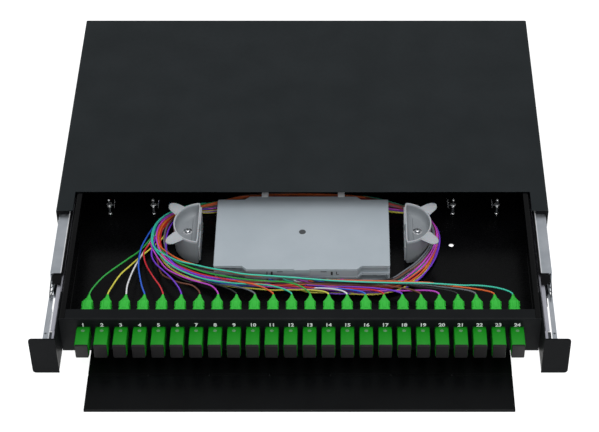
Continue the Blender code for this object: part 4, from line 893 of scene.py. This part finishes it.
fibre_jackets = []
for colour_name, colour in JACKETS:
    pale = [min(1.0, part * 1.12 + 0.004) for part in colour]
    fibre_jackets.append(finish(colour_name + "_jacket", colour, pale, 1800.0,
                                (0.28, 0.38), 0.08))
for port, x in enumerate(port_places):
    number = port + 1
    colour_name = JACKETS[port % 12][0]
    shares, depths = COLOUR_PLACES[colour_name]
    # The second fibre of a colour lies off the first one
    shift = COLOUR_SPREAD if number > 12 else 0.0
    shares = [share - shift if share > 0.5 else share + shift for share in shares]
    if number in FRONT_PLACES:
        shares[0] = FRONT_PLACES[number]
    if number in LEFT_PLACES:
        shares[1] = LEFT_PLACES[number]
    start_x, start_y, start_z = x / MM, BOOT_TIP / MM, ADAPTER_MIDDLE / MM
    line = [Vector((start_x, start_y + step, start_z)) for step in (-1.0, 0.0, 1.2)]
    if number in LEADS:
        line += [Vector(place) for place in LEADS[number]]
        first = LEAD_JOINS[number]
    else:
        first = next(at for at, (inner, outer) in enumerate(LAP)
                     if (inner[0] + outer[0]) / 2 < start_x - JOIN_REACH)
        joins = wandering(port, first, shares, depths)
        bends = [line[-1], line[-1] + BOOT_BEND,
                 joins + Vector((JOIN_RUN, JOIN_OUT, JOIN_RISE - LEAD_DIPS.get(number, 0.0))),
                 joins]
        for step in range(1, 8):
            t = step / 8
            line.append(bends[0] * (1 - t) ** 3 + bends[1] * 3 * t * (1 - t) ** 2
                        + bends[2] * 3 * t * t * (1 - t) + bends[3] * t ** 3)
    end_x = ENTRY_RIGHT - ENTRY_PITCH * ((port * 7) % 24)
    last = next((at for at in range(RIGHT_END, len(LAP))
                 if LAP[at][0][0] < end_x + LEAVE_REACH), len(LAP))
    for station in range(first, last):
        line.append(wandering(port, station, shares, depths))
    entry_z = ENTRY_BASE + ENTRY_ROW * (port % 4)
    line += [Vector((end_x + ahead, y, entry_z)) for ahead, y in ENTRY_STEPS]
    route = through([point * MM for point in line], ROUTE_STEP)
    curve = bpy.data.curves.new("fibre_%02d" % number, "CURVE")
    curve.dimensions = "3D"
    curve.bevel_depth = FIBRE_RADIUS
    curve.bevel_resolution = 2
    curve.use_fill_caps = True
    spline = curve.splines.new("POLY")
    spline.points.add(len(route) - 1)
    for point, place in zip(spline.points, route):
        point.co = (*place, 1.0)
    spline.use_smooth = True
    curve.materials.append(fibre_jackets[port % 12])
    fibre = bpy.data.objects.new("fibre_%02d_%s" % (number, colour_name), curve)
    bpy.context.scene.collection.objects.link(fibre)
    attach(fibre, "drawer")
    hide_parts("fibre_harness")

# Spools
# Two D-shaped spools of unpigmented plastic hold the fibres' bends wide. The upper half is an
# open bowl, two leaf-shaped lobes keep the fibres down, and one screw holds each. The bowl's
# inside and the outer wall take a darker copy of the plastic, painted shade.
natural_plastic = finish("natural_plastic", (0.41, 0.435, 0.46),
                         (0.47, 0.49, 0.515), 1500.0, (0.34, 0.46), 0.2,
                         Subsurface_Weight=0.12, Subsurface_Scale=0.003,
                         Specular_IOR_Level=0.35)
# A darker copy of the spool plastic: painted shade.
spool_shaded_plastic = finish("spool_plastic_shaded_copy", (0.25, 0.275, 0.295),
                      (0.31, 0.33, 0.35), 1500.0, (0.30, 0.42), 0.2, Specular_IOR_Level=0.4)
SPOOL_X = 0.0985
SPOOL_Y = -0.14985
SPOOL_RADIUS = 0.0272
SPOOL_DEPTH = 0.0249
SPOOL_BASE = 0.0027
SPOOL_RIM = 0.0309
BOWL_FLOOR = 0.0184
SPOOL_WALL = 0.0014
LOBE_ANGLE = math.radians(42)
LOBE_REACH = 0.0402
LOBE_ROOT = SPOOL_RADIUS - 0.0020
LOBE_WIDTH = 0.0112
RIB_PLACE = 0.0125


def d_ring(side, inset, z):
    """A half round with its flat side to the trays and soft corners, pulled in by an inset."""
    radius = SPOOL_RADIUS - inset
    corner = max(0.0022 - inset / 2, 0.0008)
    points = []
    steps = 40
    for step in range(steps + 1):
        turn = -math.pi / 2 + math.pi * step / steps
        points.append((max((SPOOL_DEPTH - inset) * math.cos(turn), inset),
                       radius * math.sin(turn)))
    flat = [(inset, radius * (1 - 2 * step / 11)) for step in range(1, 11)]
    points[0] = (inset + corner * 0.3, -radius + corner * 0.3)
    points[-1] = (inset + corner * 0.3, radius - corner * 0.3)
    ring = [(side * (SPOOL_X + x), SPOOL_Y + y, z) for x, y in points + flat]
    return ring if side > 0 else ring[::-1]


def d_skin(work, side, levels, hoop=False):
    """A skin over half rounds, each with its inset and its height."""
    loft(work, [d_ring(side, inset, z) for inset, z in levels], hoop)


for side_name, side in SIDES:
    work = bmesh.new()
    wall = SPOOL_WALL
    d_skin(work, side, [(inset, SPOOL_RIM - down) for inset, down in (
        (wall - 0.0001, 0.0022), (0.0, 0.0024), (0.0, 0.0005), (0.0002, 0.0001),
        (wall / 2, 0.0), (wall - 0.0002, 0.0001), (wall, 0.0005), (wall, 0.0022))], hoop=True)
    for angle in (-LOBE_ANGLE, LOBE_ANGLE):
        rings = []
        # A lobe narrows, sinks and thins towards its round tip
        for share in (0.0, 0.15, 0.35, 0.55, 0.75, 0.88, 0.96, 1.0):
            along = LOBE_ROOT + (LOBE_REACH - LOBE_ROOT) * share
            half = LOBE_WIDTH / 2 * math.sqrt(max(1 - max(share - 0.6, 0) ** 2 / 0.164, 0.02))
            half *= 1.28 - 0.42 * share
            top = SPOOL_RIM - 0.0001 - 0.0010 * share ** 2
            thick = 0.0015 + 0.0016 * (1 - share)
            ring = [(along, half * wide, top + rise) for wide, rise in (
                (-1.0, -thick / 2), (-0.8, -0.0001), (0.0, 0.0001), (0.8, -0.0001),
                (1.0, -thick / 2), (0.7, -thick), (-0.7, -thick))]
            turned = Matrix.Rotation(angle, 3, "Z")
            ring = [turned @ Vector(point) for point in ring]
            rings.append([(side * (SPOOL_X + point.x), SPOOL_Y + point.y, point.z)
                          for point in ring])
        loft(work, rings)
    for rib_y in (SPOOL_Y - RIB_PLACE, SPOOL_Y + RIB_PLACE):
        side_slab(work, side, SPOOL_X - 0.0001, SPOOL_X + 0.0009, rib_y - 0.0006,
                  rib_y + 0.0006, BOWL_FLOOR - 0.001, SPOOL_RIM - 0.0012, 0.0002)
    made("spool_rim_" + side_name, work, natural_plastic)
    work = bmesh.new()
    for front, base, top in ((SPOOL_Y - 0.0235, SPOOL_BASE, SPOOL_RIM - 0.0105),
                             (SPOOL_Y - 0.0015, SPOOL_RIM - 0.0110, SPOOL_RIM - 0.0012)):
        side_slab(work, side, SPOOL_X - 0.0011, SPOOL_X + 0.0004, front, SPOOL_Y + 0.0225,
                  base, top, 0.0002)
    made("spool_step_" + side_name, work, natural_plastic)
    # The bowl's inside and the outer wall in the darker copy: painted shade.
    work = bmesh.new()
    d_skin(work, side, [
        (wall + 0.0030, BOWL_FLOOR - wall), (wall, BOWL_FLOOR - wall), (wall, SPOOL_BASE),
        (0.0001, SPOOL_BASE), (0.00005, SPOOL_BASE + 0.0003), (0.00005, SPOOL_RIM - 0.0023),
        (wall - 0.00005, SPOOL_RIM - 0.0023), (wall, BOWL_FLOOR + 0.0060),
        (wall + 0.0004, BOWL_FLOOR + 0.0036), (wall + 0.0016, BOWL_FLOOR + 0.0016),
        (wall + 0.0036, BOWL_FLOOR + 0.0004), (wall + 0.0060, BOWL_FLOOR)])
    spool = made("fibre_spool_" + side_name, work, spool_shaded_plastic)
    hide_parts("spool_" + side_name)

# Spool screws
# A pan-head screw holds each spool down through a boss in its floor. Its cross recess is not
# cut: a dark cross on the head stands in for it as painted shade.
SCREW_X = 0.1103
HEAD_RADIUS = 0.0030
HEAD_HEIGHT = 0.0022
RECESS_LONG = 0.0016
RECESS_WIDE = 0.00035
for side_name, side in SIDES:
    work = bmesh.new()
    head_base = BOWL_FLOOR + 0.0003
    lathe(work, [(0.0045, -0.0003), (0.0045, -0.0001), (0.0038, 0.0)],
          (side * SCREW_X, SPOOL_Y, head_base))
    lathe(work, [(0.0004, HEAD_HEIGHT), (0.0016, HEAD_HEIGHT - 0.0001),
                 (0.0024, HEAD_HEIGHT - 0.0005), (0.0029, HEAD_HEIGHT - 0.0012),
                 (HEAD_RADIUS, 0.0003), (0.0028, 0.0), (0.0013, 0.0),
                 (0.0013, 0.0016 - head_base)], (side * SCREW_X, SPOOL_Y, head_base))
    screw = made("spool_screw_head_" + side_name, work, bright_steel)
    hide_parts("spool_screw_" + side_name)
    # Painted shade of the cross recess.
    work = bmesh.new()
    top = head_base + HEAD_HEIGHT
    for long_x, long_y in ((RECESS_LONG, RECESS_WIDE), (RECESS_WIDE, RECESS_LONG)):
        slab(work, (side * SCREW_X - long_x, SPOOL_Y - long_y, top - 0.0010),
             (side * SCREW_X + long_x, SPOOL_Y + long_y, top + 0.00006), 0.00005)
    made("spool_screw_recess_shade_" + side_name, work, dark_steel_and_shade)

# Splice trays
# Two pale grey trays are stacked, and a lid is clipped over them. At the front corners the
# walls stand back and have narrow slots, and the middle of the front has moulded catches. The
# slots and the gaps round the catches are dark patches, painted shade; the lid's hole is a grey
# disc, painted shade; and the lid clips take a much paler copy of the plastic, painted light.
pale_plastic = finish("pale_grey_plastic", (0.385, 0.435, 0.475),
                      (0.42, 0.47, 0.51), 1700.0, (0.42, 0.52), 0.15)
# A much paler copy of the tray plastic for the lid clips: painted light where the cover shades
# them.
clip_painted_light = finish("clip_plastic_lit_copy", (0.86, 0.87, 0.90),
                      (0.92, 0.93, 0.95), 1700.0, (0.40, 0.5), 0.15)
# Painted shade for the slots and the lid's hole.
slot_painted_shade = finish("slot_painted_shade", (0.012, 0.013, 0.014), (0.018, 0.019, 0.02),
                   1700.0, (0.6, 0.7), 0.05)
hole_painted_shade = finish("hole_painted_shade", (0.045, 0.05, 0.055), (0.06, 0.065, 0.07),
                   1700.0, (0.6, 0.7), 0.05)
TRAY_HALF = 0.0830
TRAY_MIDDLE_HALF = 0.0520
TRAY_DEEP = 0.0502
TRAY_STEP = 0.0045
TRAY_Y = -0.15575
TRAY_HEIGHT = 0.0094
PLATE = 0.0014
WALL_BACK = 0.0024


def tray_ring(wide_in, middle_in, z):
    """The stepped outline of a tray, its corners pulled in and its middle pulled in."""
    wide = TRAY_HALF - wide_in
    shallow = TRAY_DEEP - TRAY_STEP - wide_in
    deep = TRAY_DEEP - middle_in
    quarter = [(wide, shallow - 0.0012), (wide - 0.0004, shallow - 0.0003),
               (wide - 0.0014, shallow), (TRAY_MIDDLE_HALF + TRAY_STEP, shallow),
               (TRAY_MIDDLE_HALF, deep), (TRAY_MIDDLE_HALF - 0.0030, deep)]
    rear = quarter + [(-x, y) for x, y in reversed(quarter)]
    ring = rear + [(-x, -y) for x, y in rear]
    return [(x, TRAY_Y + y, z) for x, y in ring]


def tray_plate(work, base, top, edge=0.0003):
    """A flat plate of the tray's outline with soft edges."""
    loft(work, [tray_ring(edge, edge, base), tray_ring(0.0, 0.0, base + edge),
                tray_ring(0.0, 0.0, top - edge), tray_ring(edge, edge, top)])


def front_shade_patch(work, x, half, face, base, top):
    """A dark patch on a tray's front, painted shade for a slot or the gap beside a catch."""
    slab(work, (x - half, face - 0.00006, base), (x + half, face + 0.0006, top))


SLOT_HALF = 0.0022
SLOT_FOOT = 0.0054
SLOT_HEAD = 0.0078
# Slots in the corners that stand back, and gaps round the catches: place, half width, foot, top
CORNER_SLOTS = {"lower": (-0.0705, -0.0638, 0.0690), "upper": (-0.0705, -0.0638)}
CATCH_GAPS = ((0.0282, 0.0009, 0.0030, 0.0076), (0.0326, 0.0004, 0.0040, 0.0076),
              (0.0338, 0.0012, 0.0036, 0.0043), (0.0205, 0.0028, 0.0070, 0.0079))
for level, base in (("lower", 0.0027), ("upper", 0.0124)):
    work = bmesh.new()
    tray_plate(work, base, base + PLATE)
    loft(work, [tray_ring(WALL_BACK, 0.0002, base + PLATE - 0.0001),
                tray_ring(WALL_BACK, 0.0002, base + TRAY_HEIGHT - PLATE)])
    tray_plate(work, base + TRAY_HEIGHT - PLATE - 0.0001, base + TRAY_HEIGHT)
    tray = made("splice_tray_body_" + level, work, pale_plastic)
    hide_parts("splice_tray_" + level)
    work = bmesh.new()
    wall_y = TRAY_Y - TRAY_DEEP + TRAY_STEP + WALL_BACK
    face_y = TRAY_Y - TRAY_DEEP + 0.0002
    for x in CORNER_SLOTS[level]:
        front_shade_patch(work, x, SLOT_HALF, wall_y, base + SLOT_FOOT, base + SLOT_HEAD)
    for side in (-1, 1):
        for x, half, foot, head in CATCH_GAPS:
            front_shade_patch(work, side * x, half, face_y, base + foot, base + head)
    made("tray_slot_shade_" + level, work, slot_painted_shade)

LID_BASE = 0.0221
LID_TOP = 0.0235
TONGUE_HALF = 0.0072
CLIP_PLACE = 0.0372
lid_front, lid_rear = TRAY_Y - TRAY_DEEP, TRAY_Y + TRAY_DEEP
work = bmesh.new()
tray_plate(work, LID_BASE, LID_TOP, 0.0004)
slab(work, (-TONGUE_HALF, lid_front - 0.0009, LID_BASE - 0.0035),
     (TONGUE_HALF, lid_front + 0.002, LID_TOP - 0.0002), 0.0003)
lid = made("splice_lid", work, pale_plastic)
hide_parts("splice_tray_lid")
work = bmesh.new()
for x in (-CLIP_PLACE, CLIP_PLACE):
    slab(work, (x - 0.0034, lid_rear - 0.0015, LID_BASE),
         (x + 0.0034, lid_rear + 0.0060, LID_TOP + 0.0001), 0.0004, 2)
    slab(work, (x - 0.0031, lid_rear + 0.0045, LID_TOP - 0.0040),
         (x + 0.0031, lid_rear + 0.0058, LID_TOP - 0.0003), 0.0002)
made("lid_clips", work, clip_painted_light)
# The lid's hole is not cut: a grey disc in the rim is its painted shade.
for name, outline, steps, material in (
        ("lid_hole_rim", ((0.0030, 0.0), (0.0032, 0.00012), (0.0041, 0.00012), (0.0043, 0.0)),
         32, pale_plastic),
        ("lid_hole", ((0.0001, 0.00018), (0.0031, 0.00016), (0.0033, 0.00013)), 24, hole_painted_shade)):
    work = bmesh.new()
    lathe(work, outline, (0.0, TRAY_Y, LID_TOP), steps)
    made(name, work, material)

# Cable clamps
# Four screw clamps for the cables' strength members: a threaded stud with a knob, a flat
# washer and two round nuts of bright steel, and a thin leg and a dark tongue beside each. The
# knob, washer, nuts, foot and leg are a steel paler than the spool screws, painted highlight
# over the front lamp's real glints, and the stud's dark steel is painted shade between them.
CLAMP_IN = 0.0044
# Middle height and radius of each bright part and its half height, from the floor up
BRIGHT_PARTS = ((0.0184, 0.0015, 0.0015), (0.0130, 0.0029, 0.0006), (0.0096, 0.0016, 0.0014),
                (0.0010, 0.0020, 0.0010))
STUD_RADIUS = 0.0010
STUD_TOP = 0.0176
LEG_TOP = (0.0059, 0.0192)
LEG_FOOT = (0.0045, 0.0080)
LEG_RADIUS = 0.00045
THREADS = 14
THREAD_START = 0.0028
THREAD_PITCH = 0.00095
THREAD_DEEP = 0.0003
TONGUE_LONG = 0.0052
TONGUE_SIDE = 0.0012
TONGUE_FOOT = 0.0120
TONGUE_HEAD = 0.0126
# A steel paler than the spool screws: painted highlight on the clamps.
clamp_steel_painted_highlight = finish("clamp_steel_painted_highlight", (0.84, 0.85, 0.86), (0.90, 0.91, 0.92), 3000.0,
                     (0.16, 0.26), 0.1, streaks, Metallic=0.85)
for clamp in range(4):
    low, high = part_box("cable_clamp_%d" % (clamp + 1))
    left_half = low.x < 0
    x = low.x + CLAMP_IN if left_half else high.x - CLAMP_IN
    y = (low.y + high.y) / 2
    facing = 1 if left_half else -1
    work = bmesh.new()
    for middle, radius, half in BRIGHT_PARTS:
        lathe(work, [(radius * math.cos(turn) ** 0.7, middle + half * math.sin(turn))
                     for turn in (math.radians(88 - 22 * at) for at in range(9))],
              (x, y, low.z), 28)
    wire(work, [(x + facing * (LEG_FOOT[0] + (LEG_TOP[0] - LEG_FOOT[0]) * at / 5), y,
                 low.z + LEG_FOOT[1] + (LEG_TOP[1] - LEG_FOOT[1]) * at / 5)
                for at in range(6)], LEG_RADIUS)
    clamp_piece = made("strength_clamp_%d" % (clamp + 1), work, clamp_steel_painted_highlight,
                       smooth=60.0)
    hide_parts("cable_clamp_%d" % (clamp + 1))
    # The stud's dark steel is painted shade between the glints.
    work = bmesh.new()
    lathe(work, [(0.0001, STUD_TOP), (STUD_RADIUS, STUD_TOP - 0.0002), (STUD_RADIUS, 0.0004),
                 (0.0001, 0.0003)], (x, y, low.z), 24)
    for turn in range(THREADS):
        lathe(work, [(STUD_RADIUS - 0.0001, 0.0), (STUD_RADIUS + THREAD_DEEP, -0.0002),
                     (STUD_RADIUS - 0.0001, -0.0004)],
              (x, y, low.z + THREAD_START + turn * THREAD_PITCH), 24)
    low_x, high_x = sorted((x, x + facing * TONGUE_LONG))
    slab(work, (low_x, y - TONGUE_SIDE, low.z + TONGUE_FOOT),
         (high_x, y + TONGUE_SIDE, low.z + TONGUE_HEAD), 0.0001)
    made("clamp_stud_%d" % (clamp + 1), work, dark_steel_and_shade)
